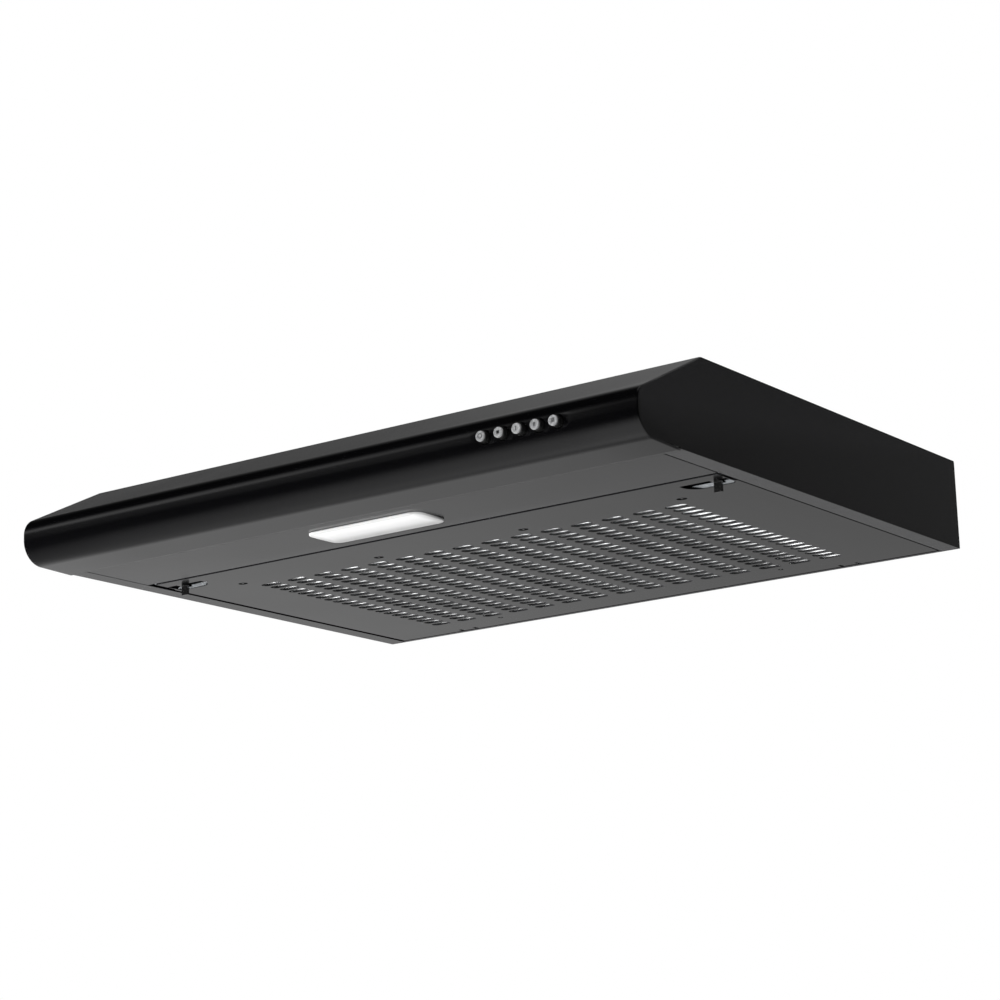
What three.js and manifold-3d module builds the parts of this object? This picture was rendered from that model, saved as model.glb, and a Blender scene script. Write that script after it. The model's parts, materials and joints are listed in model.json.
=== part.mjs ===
// Slim under-cabinet range hood, 60 cm module, built as separate sheet-metal and plastic pieces.
// Millimetres, +Z up. Origin: centre of the rear wall's outer face. +X is the hood's right-hand
// side seen from the front, and the front of the hood looks along -Y.
import * as THREE from 'three';
import { mergeGeometries, mergeVertices } from 'three/addons/utils/BufferGeometryUtils.js';
import Module from 'manifold-3d';

const wasm = await Module();
wasm.setup();

// ---------------------------------------------------------------- driving dimensions

// Overall body
const width = 600;
const depth = 484;
const height = 75;
const slopeDepth = 86;
const sheet = 0.8;
const gap = 0.3;

// Front nose
const noseUpperRadius = 15;
const noseLowerRadius = 20;
const noseFlat = 4;

// Underside
const sideFlange = 15.7;
const seamSetback = 54;
const lampPanelDepth = 75.8;
const shadowGap = 0.8;
const rearLip = 4.5;
const lipHeight = 8;

// Air slots in the grille
const slotLength = 20;
const slotWidth = 8.2;
const slotPitchX = 29.2;
const slotPitchY = 11.9;
const slotSideMargin = 65;
const slotFrontMargin = 62.4;
const slotRearMargin = 36.4;

// Lamp
const lensLength = 112;
const lensWidth = 40;
const lensCorner = 9;
const lensProud = 2;
const lensRim = 2.4;
const lampOffset = -5.5;
const trayHeight = 22;
const ledCount = 6;

// Latches at the front corners of the grille
const recessLength = 42;
const recessInset = 2.2;
const recessFront = 16;
const recessDepth = 17;
const recessRise = 6.5;
const recessSlope = 1.9;
const tabWidth = 6.8;
const tabThick = 2.2;
const tabDrop = 6.6;
const tabInset = 16.8;
const latchTravel = 3;
const tongueSetback = 0.2;

// Push buttons
const buttonCount = 5;
const buttonPitch = 15.9;
const buttonBankInset = 67.2;
const buttonRise = 21;
const buttonRadius = 4.4;
const buttonHoleClearance = 0.8;
const buttonProud = 6.5;
const buttonTravel = 3;
const capThick = 1.6;
const switchDepth = 24;
const switchWall = 3;

// Grille hinge
const hingeSetback = 8;
const hingeRise = 2.1;
const hingeInset = 82;
const pinRadius = 1.2;
const pinClearance = 0.15;
const knuckleWall = 0.7;
const knuckleWidth = 13;
const cheekThick = 1.5;

// Grease filter pad and the wires that hold it
const padThick = 5;
const padSideMargin = 22;
const padFrontMargin = 42;
const padRearMargin = 20;
const wireRadius = 1;
const wireSpread = 147.8;
const wireApexInset = 33;
const wireFootInset = 49;

// Blower
const impellerX = 130;
const impellerRadius = 70;
const bladeDepth = 11;
const bladeCount = 26;
const scrollClearance = 8;
const scrollGrowth = 26;
const throatMargin = 6;
const voluteWall = 1.6;
const inletInset = 3;
const guardHub = 16;
const plenumDepth = 26;
const motorRadius = 36;
const shaftRadius = 4;

// Duct collar and backdraft flaps
const collarSetback = 120;
const collarRadius = 49.5;
const collarWall = 1.5;
const collarHeight = 55;
const collarFlange = 9;
const flapRise = 7;
const flapThick = 1.2;
const flapClearance = 1.6;

// Electrical pieces at the left-hand side
const boxInset = 70;
const boxLength = 80;
const boxDepth = 50;
const boxSetback = 22;
const boxWall = 1.6;
const glandRadius = 8;
const capacitorRadius = 14;
const capacitorLength = 62;
const capacitorSetback = 190;
const harnessRadius = 1.8;
const leadPitch = 7;

// ---------------------------------------------------------------- derived places

const zTop = height / 2;
const zBottom = -height / 2;
const xSide = width / 2;
const ceiling = zTop - sheet;
const floorTop = zBottom + sheet;
const topDepth = depth - slopeDepth;
const xFlange = xSide - sideFlange;
const ySeam = -(depth - seamSetback);
const yLampFront = ySeam + gap;
const yLampRear = yLampFront + lampPanelDepth;
const yGrilleFront = yLampRear + shadowGap;
const yHinge = -hingeSetback;
const zHinge = zBottom + hingeRise;
const yGrilleRear = yHinge + 1;
const xGrille = xFlange - shadowGap;

const slopeAngle = (() => {
  const y = slopeDepth - noseUpperRadius;
  const z = height - noseLowerRadius - noseFlat;
  return Math.atan2(z, y) - Math.asin(noseUpperRadius / Math.hypot(y, z));
})();

const padTop = floorTop + gap + padThick;
const voluteTop = ceiling - gap;
const voluteBottom = zBottom + plenumDepth;
const voluteFloor = voluteBottom + voluteWall;
const yCollar = -collarSetback;
const collarBore = collarRadius - collarWall;
const scrollStart = impellerRadius + scrollClearance;
const throatHalf = collarBore + throatMargin;
const yImpeller = yCollar + throatHalf - scrollStart - scrollGrowth;
const inletRadius = impellerRadius - bladeDepth - inletInset;
const xTab = xGrille - tabInset;

// ---------------------------------------------------------------- finishes

const FINISH = {
  blackPaint: { color: 0x1b1b1d, roughness: 0.3, metalness: 0.2 },
  zinc: { color: 0xa9adb0, roughness: 0.45, metalness: 0.9 },
  steel: { color: 0xc4c6c8, roughness: 0.3, metalness: 1 },
  blackPlastic: { color: 0x121213, roughness: 0.35, metalness: 0 },
  greyPlastic: { color: 0x55585b, roughness: 0.6, metalness: 0 },
  whitePlastic: { color: 0xe8e8e4, roughness: 0.5, metalness: 0 },
  lens: { color: 0xf4f4f0, roughness: 0.35, metalness: 0 },
  silverCap: { color: 0xb9bbbd, roughness: 0.25, metalness: 0.9 },
  fleece: { color: 0xe6e6e0, roughness: 1, metalness: 0 },
  aluminium: { color: 0xb4b6b8, roughness: 0.5, metalness: 1 },
  board: { color: 0xdfe3df, roughness: 0.6, metalness: 0 },
  cable: { color: 0xd8d8d4, roughness: 0.6, metalness: 0 },
};

const hood = new THREE.Group();

function add(name, geometry, finish) {
  const mesh = new THREE.Mesh(geometry, new THREE.MeshStandardMaterial(FINISH[finish]));
  mesh.name = name;
  hood.add(mesh);
  return mesh;
}

// ---------------------------------------------------------------- solid helpers

function toManifold(geometry) {
  const bare = geometry.clone();
  bare.deleteAttribute('normal');
  bare.deleteAttribute('uv');
  const merged = mergeVertices(bare);
  const vertProperties = new Float32Array(merged.attributes.position.array);
  const triVerts = new Uint32Array(merged.index.array);
  return new wasm.Manifold(new wasm.Mesh({ numProp: 3, vertProperties, triVerts }));
}

function toGeometry(manifold) {
  const mesh = manifold.getMesh();
  const geometry = new THREE.BufferGeometry();
  geometry.setAttribute('position', new THREE.BufferAttribute(mesh.vertProperties, 3));
  geometry.setIndex(new THREE.BufferAttribute(mesh.triVerts, 1));
  geometry.computeVertexNormals();
  return geometry;
}

function join(...geometries) {
  return toGeometry(geometries.map(toManifold).reduce((whole, next) => whole.add(next)));
}

function cut(geometry, ...tools) {
  const pieces = tools.map(toManifold);
  return toGeometry(pieces.reduce((left, tool) => left.subtract(tool), toManifold(geometry)));
}

function block(x0, x1, y0, y1, z0, z1) {
  const geometry = new THREE.BoxGeometry(x1 - x0, y1 - y0, z1 - z0);
  return geometry.translate((x0 + x1) / 2, (y0 + y1) / 2, (z0 + z1) / 2);
}

function outline(points) {
  return new THREE.Shape(points.map(([a, b]) => new THREE.Vector2(a, b)));
}

function prism(shape, length, curveSegments = 8) {
  return new THREE.ExtrudeGeometry(shape, { depth: length, bevelEnabled: false, curveSegments });
}

// The shape's axes become Y and Z, and it runs along X.
function alongX(points, x0, x1) {
  const turn = new THREE.Matrix4().makeBasis(
    new THREE.Vector3(0, 1, 0), new THREE.Vector3(0, 0, 1), new THREE.Vector3(1, 0, 0));
  return prism(outline(points), x1 - x0).applyMatrix4(turn).translate(x0, 0, 0);
}

function alongZ(shape, z0, z1, curveSegments) {
  return prism(shape, z1 - z0, curveSegments).translate(0, 0, z0);
}

const QUARTER = Math.PI / 2;

function rodX(x0, x1, y, z, radius, sides = 16) {
  const rod = new THREE.CylinderGeometry(radius, radius, x1 - x0, sides).rotateZ(QUARTER);
  return rod.translate((x0 + x1) / 2, y, z);
}

function rodY(x, y0, y1, z, radius, sides = 16) {
  const rod = new THREE.CylinderGeometry(radius, radius, y1 - y0, sides);
  return rod.translate(x, (y0 + y1) / 2, z);
}

function rodZ(x, y, z0, z1, radius, sides = 24) {
  const rod = new THREE.CylinderGeometry(radius, radius, z1 - z0, sides).rotateX(QUARTER);
  return rod.translate(x, y, (z0 + z1) / 2);
}

// A closed [radius, z] profile turned about the vertical line through (x, y).
function turned(profile, x, y, sides = 32) {
  const points = [...profile, profile[0]].map(([r, z]) => new THREE.Vector2(r, z));
  return new THREE.LatheGeometry(points, sides).rotateX(QUARTER).translate(x, y, 0);
}

function roundedRectangle(halfX, halfY, radius, cx = 0, cy = 0, steps = 5) {
  const corners = [[1, 1, 0], [-1, 1, 1], [-1, -1, 2], [1, -1, 3]];
  return corners.flatMap(([sx, sy, quarter]) => arc(
    cx + sx * (halfX - radius), cy + sy * (halfY - radius), radius,
    quarter * QUARTER, (quarter + 1) * QUARTER, steps));
}

function arc(cx, cy, radius, from, to, steps) {
  return Array.from({ length: steps + 1 }, (_, i) => {
    const angle = from + ((to - from) * i) / steps;
    return [cx + radius * Math.cos(angle), cy + radius * Math.sin(angle)];
  });
}

// ---------------------------------------------------------------- hood shell

// The front of the hood from the top corner down the slope, round the nose and back along the
// underside to the seam, as [y, z] points, moved inwards by inset.
function frontCurve(inset) {
  const upper = [-depth + noseUpperRadius, zBottom + noseLowerRadius + noseFlat];
  const lower = [-depth + noseLowerRadius, zBottom + noseLowerRadius];
  return [
    [-topDepth + inset * Math.tan(slopeAngle / 2), zTop - inset],
    ...arc(...upper, noseUpperRadius - inset, QUARTER + slopeAngle, 2 * QUARTER, 6),
    ...arc(...lower, noseLowerRadius - inset, 2 * QUARTER, 3 * QUARTER, 8),
    [ySeam, zBottom + inset],
  ];
}

function buttonX(index) {
  return xSide - buttonBankInset - (buttonCount - 1 - index) * buttonPitch;
}

const buttonZ = zBottom + buttonRise;
const buttonHole = buttonRadius + buttonHoleClearance;
const seamLip = 10;

function frontFascia() {
  const shell = alongX([...frontCurve(0), ...frontCurve(sheet).reverse()], -xSide, xSide);
  const xLip = xFlange - gap;
  const lip = block(-xLip, xLip, ySeam - sheet, ySeam, zBottom, zBottom + seamLip);
  const holes = Array.from({ length: buttonCount }, (_, i) =>
    rodY(buttonX(i), -depth - 5, -depth + 5, buttonZ, buttonHole));
  return cut(join(shell, lip), ...holes);
}

const keyholeX = 220;
const keyholeZ = 12;
const cabinetHoleX = 245;
const cabinetHoleInset = 60;

function topPanel() {
  const front = -topDepth + sheet * Math.tan(slopeAngle / 2) + gap;
  const plate = block(-xSide, xSide, front, 0, ceiling, zTop);
  const outlet = rodZ(0, yCollar, ceiling - 1, zTop + 1, collarRadius - collarWall - 1, 32);
  const inlet = rodZ(glandX, glandY, ceiling - 1, zTop + 1, glandRadius, 16);
  const screws = [-1, 1].flatMap((side) => [front + cabinetHoleInset, -cabinetHoleInset].map(
    (y) => rodZ(side * cabinetHoleX, y, ceiling - 1, zTop + 1, 3, 12)));
  return cut(plate, outlet, inlet, ...screws);
}

function rearWall() {
  const x = xSide - sheet - gap;
  const wall = block(-x, x, -sheet, 0, zBottom, ceiling - gap);
  const foot = block(-x + sideFlange, x - sideFlange, -rearLip, 0, zBottom, floorTop);
  const keyholes = [-1, 1].flatMap((side) => [
    rodY(side * keyholeX, -sheet - 1, 1, keyholeZ, 4.5, 16),
    block(side * keyholeX - 2.2, side * keyholeX + 2.2, -sheet - 1, 1, keyholeZ, keyholeZ + 12),
  ]);
  return cut(join(wall, foot), ...keyholes);
}

function sidePanel(side) {
  const inset = sheet + gap;
  const curve = frontCurve(inset);
  const seam = ySeam + gap;
  const profile = [[0, ceiling - gap], ...curve, [seam, zBottom + inset], [seam, zBottom], [0, zBottom]];
  const wall = alongX(profile, xSide - sheet, xSide);
  const flange = block(xFlange, xSide, seam, -sheet - gap, zBottom, floorTop);
  const panel = join(wall, flange);
  return side > 0 ? panel : mirroredX(panel);
}

function mirroredX(geometry) {
  return toGeometry(toManifold(geometry).mirror([1, 0, 0]));
}

// ---------------------------------------------------------------- lamp

const yLens = (yLampFront + yLampRear) / 2;
const xLampPanel = xFlange - gap;

function lampPanel() {
  const plate = block(-xLampPanel, xLampPanel, yLampFront, yLampRear, zBottom, floorTop);
  const lipTop = zBottom + seamLip;
  const front = block(-xLampPanel, xLampPanel, yLampFront, yLampFront + sheet, zBottom, lipTop);
  const rear = block(-xLampPanel, xLampPanel, yLampRear - sheet, yLampRear, zBottom, lipTop);
  const opening = alongZ(outline(roundedRectangle(
    lensLength / 2 - lensRim, lensWidth / 2 - lensRim, lensCorner - lensRim, lampOffset, yLens)),
  zBottom - 1, floorTop + 1);
  return cut(join(plate, front, rear), opening);
}

// A shallow tray with a rim under the panel and an upstand through the panel's opening.
function lampLens() {
  const rim = roundedRectangle(lensLength / 2, lensWidth / 2, lensCorner, lampOffset, yLens);
  const inner = lensRim + gap;
  const upstand = (extra) => outline(roundedRectangle(
    lensLength / 2 - inner - extra, lensWidth / 2 - inner - extra, lensCorner - inner, lampOffset, yLens));
  const plate = alongZ(outline(rim), zBottom - lensProud, zBottom - gap);
  const wall = alongZ(upstand(0), zBottom - 1, zBottom + 4);
  const hollow = alongZ(upstand(1.2), zBottom - 1, zBottom + 5);
  return cut(join(plate, wall), hollow);
}

const trayX = lensLength / 2 + 3;
const trayY = lensWidth / 2 + 3;

function lampTray() {
  const z0 = floorTop + gap;
  const tray = block(-trayX, trayX, yLens - trayY, yLens + trayY, z0, z0 + trayHeight);
  const hollow = block(-trayX + sheet, trayX - sheet, yLens - trayY + sheet, yLens + trayY - sheet,
    z0 - 1, z0 + trayHeight - sheet);
  const wireHole = rodZ(trayX - 15, yLens, z0, z0 + trayHeight + 1, 4, 12);
  return cut(tray, hollow, wireHole).translate(lampOffset, 0, 0);
}

function ledBoard() {
  const top = floorTop + trayHeight - sheet;
  const length = lensLength - 14;
  const board = block(-length / 2, length / 2, yLens - 9, yLens + 9, top - 1.6, top);
  const pitch = length / ledCount;
  const chips = Array.from({ length: ledCount }, (_, i) => {
    const x = -length / 2 + pitch * (i + 0.5);
    return block(x - 2.5, x + 2.5, yLens - 2.5, yLens + 2.5, top - 2.8, top - 1);
  });
  return join(board, ...chips).translate(lampOffset, 0, 0);
}

// ---------------------------------------------------------------- grille

const hingeX = xGrille - hingeInset;
const recessX0 = xGrille - recessInset - recessLength;
const recessX1 = xGrille - recessInset;
const recessY0 = yGrilleFront + recessFront;
const recessY1 = recessY0 + recessDepth;

// A cutter that opens a rectangle through the grille's sheet.
function sheetHole(x, y, halfX, halfY) {
  return block(x - halfX, x + halfX, y - halfY, y + halfY, zBottom - 1, floorTop + 1);
}

function slotHoles() {
  const columns = 1 + Math.floor((2 * (xGrille - slotSideMargin) - slotLength) / slotPitchX);
  const front = yGrilleFront + slotFrontMargin;
  const rear = yGrilleRear - slotRearMargin;
  const rows = 1 + Math.floor((rear - front - slotWidth + 0.01) / slotPitchY);
  const holes = [];
  for (let row = 0; row < rows; row += 1) {
    const y = (front + rear) / 2 + (row - (rows - 1) / 2) * slotPitchY;
    for (let column = 0; column < columns; column += 1) {
      const x = (column - (columns - 1) / 2) * slotPitchX;
      holes.push(sheetHole(x, y, slotLength / 2, slotWidth / 2));
    }
  }
  return holes;
}

const wireFeet = [-1.5, -0.5, 0.5, 1.5].map((step) => step * wireSpread - Math.sign(step) * 1);
const wireApexes = [-1, 1].map((side) => side * wireSpread);
const wireFootY = yGrilleFront + wireFootInset;
const wireApexY = -wireApexInset;

function wireHoles() {
  const feet = wireFeet.map((x) => sheetHole(x, wireFootY, 4, 2));
  const apexes = wireApexes.map((x) => sheetHole(x, wireApexY, 2.2, 2.2));
  return [...feet, ...apexes];
}

function hingeNotch(side) {
  const half = knuckleWidth / 2 + cheekThick + 1.5;
  return block(side * hingeX - half, side * hingeX + half,
    yHinge - 5, yGrilleRear + 1, zBottom - 1, floorTop + 1);
}

function knuckle(side) {
  const outer = pinRadius + pinClearance + knuckleWall;
  const x0 = side * hingeX - knuckleWidth / 2;
  const x1 = side * hingeX + knuckleWidth / 2;
  const tongue = block(x0, x1, yHinge - 7, yHinge, zBottom, floorTop);
  return join(rodX(x0, x1, yHinge, zHinge, outer), tongue);
}

// A pocket pressed up into the sheet behind each latch, open towards the latch.
function latchRecess() {
  const z = zBottom;
  const up = z + recessRise;
  const yRoofEnd = recessY1 - recessSlope;
  const profile = [
    [recessY1 + 1, z], [recessY1 + 1, z + sheet], [recessY1, z + sheet],
    [yRoofEnd + 0.5, up + sheet], [recessY0 + 1, up + sheet],
    [recessY0 + 1, up], [yRoofEnd, up], [recessY1 - 0.5, z],
  ];
  const roof = alongX(profile, recessX0 - 1, recessX1 + 1);
  const cheek = alongX([
    [recessY0 + 1, z], [recessY1, z], [recessY1, z + sheet],
    [yRoofEnd + 0.5, up + sheet], [recessY0 + 1, up + sheet],
  ], recessX0 - 1, recessX0);
  const outerCheek = cheek.clone().translate(recessLength + 1, 0, 0);
  return join(roof, cheek, outerCheek);
}

function grillePanel() {
  const plate = block(-xGrille, xGrille, yGrilleFront, yGrilleRear, zBottom, floorTop);
  const recessX = (recessX0 + recessX1) / 2;
  const recessY = (recessY0 + recessY1) / 2;
  const pockets = [-1, 1].map((side) => (
    sheetHole(side * recessX, recessY, recessLength / 2, recessDepth / 2)));
  const openings = mergeGeometries([...slotHoles(), ...wireHoles(), ...pockets]);
  const up = zBottom + lipHeight;
  const frontLip = block(-xGrille, xGrille, yGrilleFront, yGrilleFront + sheet, zBottom, up);
  const sideLips = [-1, 1].map((side) => {
    const x = side * (xGrille - sheet / 2);
    return block(x - sheet / 2, x + sheet / 2, yGrilleFront, yGrilleRear - 20, zBottom, up);
  });
  const windows = [-1, 1].map((side) => {
    const x = side * xTab;
    const half = tongueWidth / 2 + 1;
    return block(x - half, x + half, yGrilleFront - 1, yGrilleFront + sheet + 1,
      floorTop, floorTop + tongueThick + 1);
  });
  const pans = cut(join(plate, frontLip, ...sideLips), openings, ...windows, hingeNotch(-1), hingeNotch(1));
  const recess = latchRecess();
  const whole = join(pans, recess, mirroredX(recess), knuckle(-1), knuckle(1));
  const bores = [-1, 1].map((side) =>
    rodX(side * hingeX - knuckleWidth, side * hingeX + knuckleWidth, yHinge, zHinge, pinRadius + pinClearance));
  return cut(whole, ...bores);
}

function hingePin(side) {
  const half = knuckleWidth / 2 + cheekThick + 1.2;
  return rodX(side * hingeX - half, side * hingeX + half, yHinge, zHinge, pinRadius);
}

function hingeBracket(side) {
  const inner = knuckleWidth / 2 + 0.5;
  const outer = inner + cheekThick;
  const back = -sheet - gap;
  const cheekReach = 3;
  const zCheek = floorTop + 0.2;
  const plate = block(-outer, outer, back - 1.2, back, floorTop + gap, zHinge + 16);
  const cheeks = [-1, 1].map((end) => {
    const x = end * (inner + cheekThick / 2);
    return block(x - cheekThick / 2, x + cheekThick / 2, yHinge - cheekReach, back - 0.5, zCheek, zHinge + 6);
  });
  const bore = rodX(-outer - 1, outer + 1, yHinge, zHinge, pinRadius + pinClearance);
  return cut(join(plate, ...cheeks), bore).translate(side * hingeX, 0, 0);
}

// ---------------------------------------------------------------- latches

const tongueWidth = 16;
const tongueThick = 2.4;
const latchBaseZ = floorTop + gap;

function latch(side) {
  const x = xTab;
  const front = yGrilleFront + tongueSetback;
  const yTab = recessY1 - recessSlope - latchTravel - tabThick;
  const tongue = block(x - tongueWidth / 2, x + tongueWidth / 2, front, recessY0 - 1,
    latchBaseZ, latchBaseZ + tongueThick);
  const neck = block(x - tabWidth / 2, x + tabWidth / 2, recessY0 - 4, yTab + tabThick,
    latchBaseZ, latchBaseZ + tongueThick);
  const tab = block(x - tabWidth / 2, x + tabWidth / 2, yTab, yTab + tabThick,
    zBottom - tabDrop, latchBaseZ + tongueThick);
  const whole = join(tongue, neck, tab);
  return side > 0 ? whole : mirroredX(whole);
}

// A folded keeper over each latch, screwed to the grille's inner face.
function latchKeeper(side) {
  const x = xTab;
  const half = tongueWidth / 2 + 0.6;
  const y0 = yGrilleFront + 3;
  const y1 = recessY0 - 3;
  const z0 = floorTop + gap;
  const roofZ = latchBaseZ + tongueThick + 0.6;
  const over = block(x - half - 5, x + half + 5, y0, y1, z0, roofZ + 1);
  const tunnel = block(x - half, x + half, y0 - 1, y1 + 1, z0 - 1, roofZ);
  const keeper = cut(over, tunnel);
  return side > 0 ? keeper : mirroredX(keeper);
}

// ---------------------------------------------------------------- filter pad and wires

function filterPad() {
  const y0 = yGrilleFront + padFrontMargin;
  const y1 = yGrilleRear - padRearMargin;
  const x = xGrille - padSideMargin;
  const pad = block(-x, x, y0, y1, floorTop + gap, padTop);
  const holes = [
    ...wireFeet.map((foot) => rodZ(foot, wireFootY, floorTop, padTop + 1, 4.5, 8)),
    ...wireApexes.map((apex) => rodZ(apex, wireApexY, floorTop, padTop + 1, 4.5, 8)),
  ];
  return cut(pad, ...holes);
}

function bentRod(points, radius, sides, steps) {
  const path = new THREE.CurvePath();
  for (let i = 1; i < points.length; i += 1) {
    path.add(new THREE.LineCurve3(points[i - 1], points[i]));
  }
  const section = new THREE.Shape();
  section.absarc(0, 0, radius, 0, 4 * QUARTER, false);
  return new THREE.ExtrudeGeometry(section, {
    extrudePath: path, steps, curveSegments: sides, bevelEnabled: false,
  });
}

// One V of sprung wire: feet through the two front holes, apex through the rear hole.
function filterWire(side) {
  const feet = wireFeet.filter((x) => Math.sign(x) === side);
  const z = padTop + gap + wireRadius;
  const low = zBottom + 0.2;
  const arm = (x) => {
    const from = new THREE.Vector3(x, wireFootY, z);
    const to = new THREE.Vector3(side * wireSpread, wireApexY, z);
    return bentRod([from, to], wireRadius, 6, 1);
  };
  const foot = (x) => rodZ(x, wireFootY, low, z + wireRadius * 0.8, wireRadius, 8);
  const apex = rodZ(side * wireSpread, wireApexY, low, z + wireRadius * 0.8, wireRadius, 8);
  return join(arm(feet[0]), arm(feet[1]), foot(feet[0]), foot(feet[1]), apex);
}

// ---------------------------------------------------------------- buttons and switch bank

const capFace = -depth - buttonProud;
const stemLength = 30;
const bankX0 = buttonX(0) - 9;
const bankX1 = buttonX(buttonCount - 1) + 9;
const bankY0 = -depth + 12;
const bankHalfZ = 9;

function buttonStem(index) {
  const y0 = capFace + capThick + 0.1;
  return rodY(buttonX(index), y0, y0 + stemLength, buttonZ, buttonRadius, 20);
}

function buttonCap(index) {
  return rodY(buttonX(index), capFace, capFace + capThick, buttonZ, buttonRadius - 0.2, 20);
}

function switchHousing() {
  const y1 = bankY0 + switchDepth;
  const housing = block(bankX0, bankX1, bankY0, y1, buttonZ - bankHalfZ, buttonZ + bankHalfZ);
  const ears = block(bankX0 - 8, bankX1 + 8, bankY0, bankY0 + 2, buttonZ - 5, buttonZ + 5);
  const bores = Array.from({ length: buttonCount }, (_, i) =>
    rodY(buttonX(i), bankY0 - 1, y1 - switchWall + buttonTravel - 1, buttonZ, buttonRadius + 0.5));
  return cut(join(housing, ears), ...bores);
}

// ---------------------------------------------------------------- blower

const scrollSweep = 3 * QUARTER;

// A point on the scroll's growing spiral; turn runs from 0 at the tongue to 1 at the throat.
function scrollPoint(turn, offset) {
  const angle = 2 * QUARTER + scrollSweep * turn;
  const radius = scrollStart + scrollGrowth * turn + offset;
  return [impellerX + radius * Math.cos(angle), yImpeller + radius * Math.sin(angle)];
}

// Plan of the scroll: the spiral round the impeller opens into a straight throat, which ends in
// a half round under the duct collar.
function scrollOutline(offset) {
  const steps = 16;
  const spiral = Array.from({ length: steps + 1 }, (_, i) => scrollPoint(i / steps, offset));
  const end = arc(0, yCollar, throatHalf + offset, QUARTER, 3 * QUARTER, 10);
  const tongue = [impellerX - scrollStart - offset, yCollar - throatHalf - offset];
  return outline([...spiral, ...end, tongue]);
}

function voluteHousing() {
  const body = alongZ(scrollOutline(voluteWall), voluteBottom, voluteTop);
  const hollow = alongZ(scrollOutline(0), voluteFloor, voluteTop + 1);
  const inlet = rodZ(impellerX, yImpeller, voluteBottom - 1, voluteFloor + 1, inletRadius, 32);
  const ears = voluteEars().map(([x, y]) => rodZ(x, y, voluteTop - 4, voluteTop, 8, 12));
  const holes = voluteEars().map(([x, y]) => rodZ(x, y, voluteTop - 5, voluteTop + 1, 1.9, 8));
  const lugs = bracketLugs().map(([x, y]) => rodZ(x, y, voluteBottom - 1, voluteFloor + 1, 4, 12));
  const lugHoles = bracketLugs().map(([x, y]) => rodZ(x, y, voluteBottom - 2, voluteFloor, 1.3, 8));
  return cut(join(cut(join(body, ...ears), hollow, inlet), ...lugs), ...holes, ...lugHoles);
}

function voluteEars() {
  const reach = voluteWall + 5;
  return [
    scrollPoint(0.4, reach),
    scrollPoint(0.8, reach),
    [20, yCollar - throatHalf - reach],
    [20, yCollar + throatHalf + reach],
  ];
}

function voluteScrew(index) {
  const [x, y] = voluteEars()[index];
  const shank = rodZ(x, y, voluteTop - 9, voluteTop, 1.6, 8);
  const head = rodZ(x, y, voluteTop - 6.7, voluteTop - 4.3, 3.8, 10);
  return join(shank, head);
}

const wheelBottom = voluteFloor + 3;
const wheelTop = voluteTop - 4;
const hubThick = 1.6;
const hubBore = shaftRadius + gap;

// Forward-leaning blades between a bottom ring and a hub disc at the top.
function impeller() {
  const inner = impellerRadius - bladeDepth;
  const disc = turned([
    [hubBore, wheelTop - hubThick], [impellerRadius, wheelTop - hubThick],
    [impellerRadius, wheelTop], [hubBore, wheelTop],
  ], 0, 0, 36);
  const boss = turned([
    [hubBore, wheelTop - 9], [hubBore + 4, wheelTop - 9], [hubBore + 4, wheelTop - 1], [hubBore, wheelTop - 1],
  ], 0, 0, 16);
  const ring = turned([
    [impellerRadius - 4, wheelBottom], [impellerRadius, wheelBottom],
    [impellerRadius, wheelBottom + 2], [impellerRadius - 4, wheelBottom + 2],
  ], 0, 0, 36);
  const thick = 1;
  const lead = 5;
  const blade = alongZ(outline([
    [inner, -thick / 2], [impellerRadius - 0.5, lead - thick / 2],
    [impellerRadius - 0.5, lead + thick / 2], [inner, thick / 2],
  ]), wheelBottom + 1, wheelTop - hubThick / 2);
  const blades = Array.from({ length: bladeCount }, (_, i) =>
    blade.clone().rotateZ((4 * QUARTER * i) / bladeCount));
  return join(disc, boss, ring, ...blades).translate(impellerX, yImpeller, 0);
}

const motorBottom = voluteBottom - 1;
const motorTop = wheelTop - 14;

function motor() {
  const body = turned([
    [0, motorBottom], [motorRadius - 6, motorBottom], [motorRadius, motorBottom + 6],
    [motorRadius, motorTop - 4], [motorRadius - 4, motorTop], [0, motorTop],
  ], impellerX, yImpeller, 28);
  const bore = rodZ(impellerX, yImpeller, motorTop - 16, motorTop + 1, shaftRadius + gap, 16);
  return cut(body, bore);
}

function motorShaft() {
  return rodZ(impellerX, yImpeller, motorTop - 15, wheelTop + 2.5, shaftRadius, 16);
}

const bracketZ = voluteBottom - 1 - gap;
const bracketThick = 2;
const bracketReach = inletRadius + 8;
const bracketAngles = [0, 1, 2].map((arm) => QUARTER * (0.35 + (arm * 4) / 3));

function bracketLugs() {
  return bracketAngles.map((angle) => [
    impellerX + bracketReach * Math.cos(angle), yImpeller + bracketReach * Math.sin(angle)]);
}

function motorBracket() {
  const hub = rodZ(0, 0, bracketZ - bracketThick, bracketZ, motorRadius - 10, 20);
  const arms = bracketAngles.map((angle) =>
    block(0, bracketReach + 6, -6, 6, bracketZ - bracketThick, bracketZ).rotateZ(angle));
  const plug = block(-26, -18, -12, -3, bracketZ - bracketThick - leadSpace + 0.4, bracketZ);
  return join(hub, plug, ...arms).translate(impellerX, yImpeller, 0);
}

const leadSpace = 5.5;
const guardZ = bracketZ - bracketThick - leadSpace;

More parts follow.
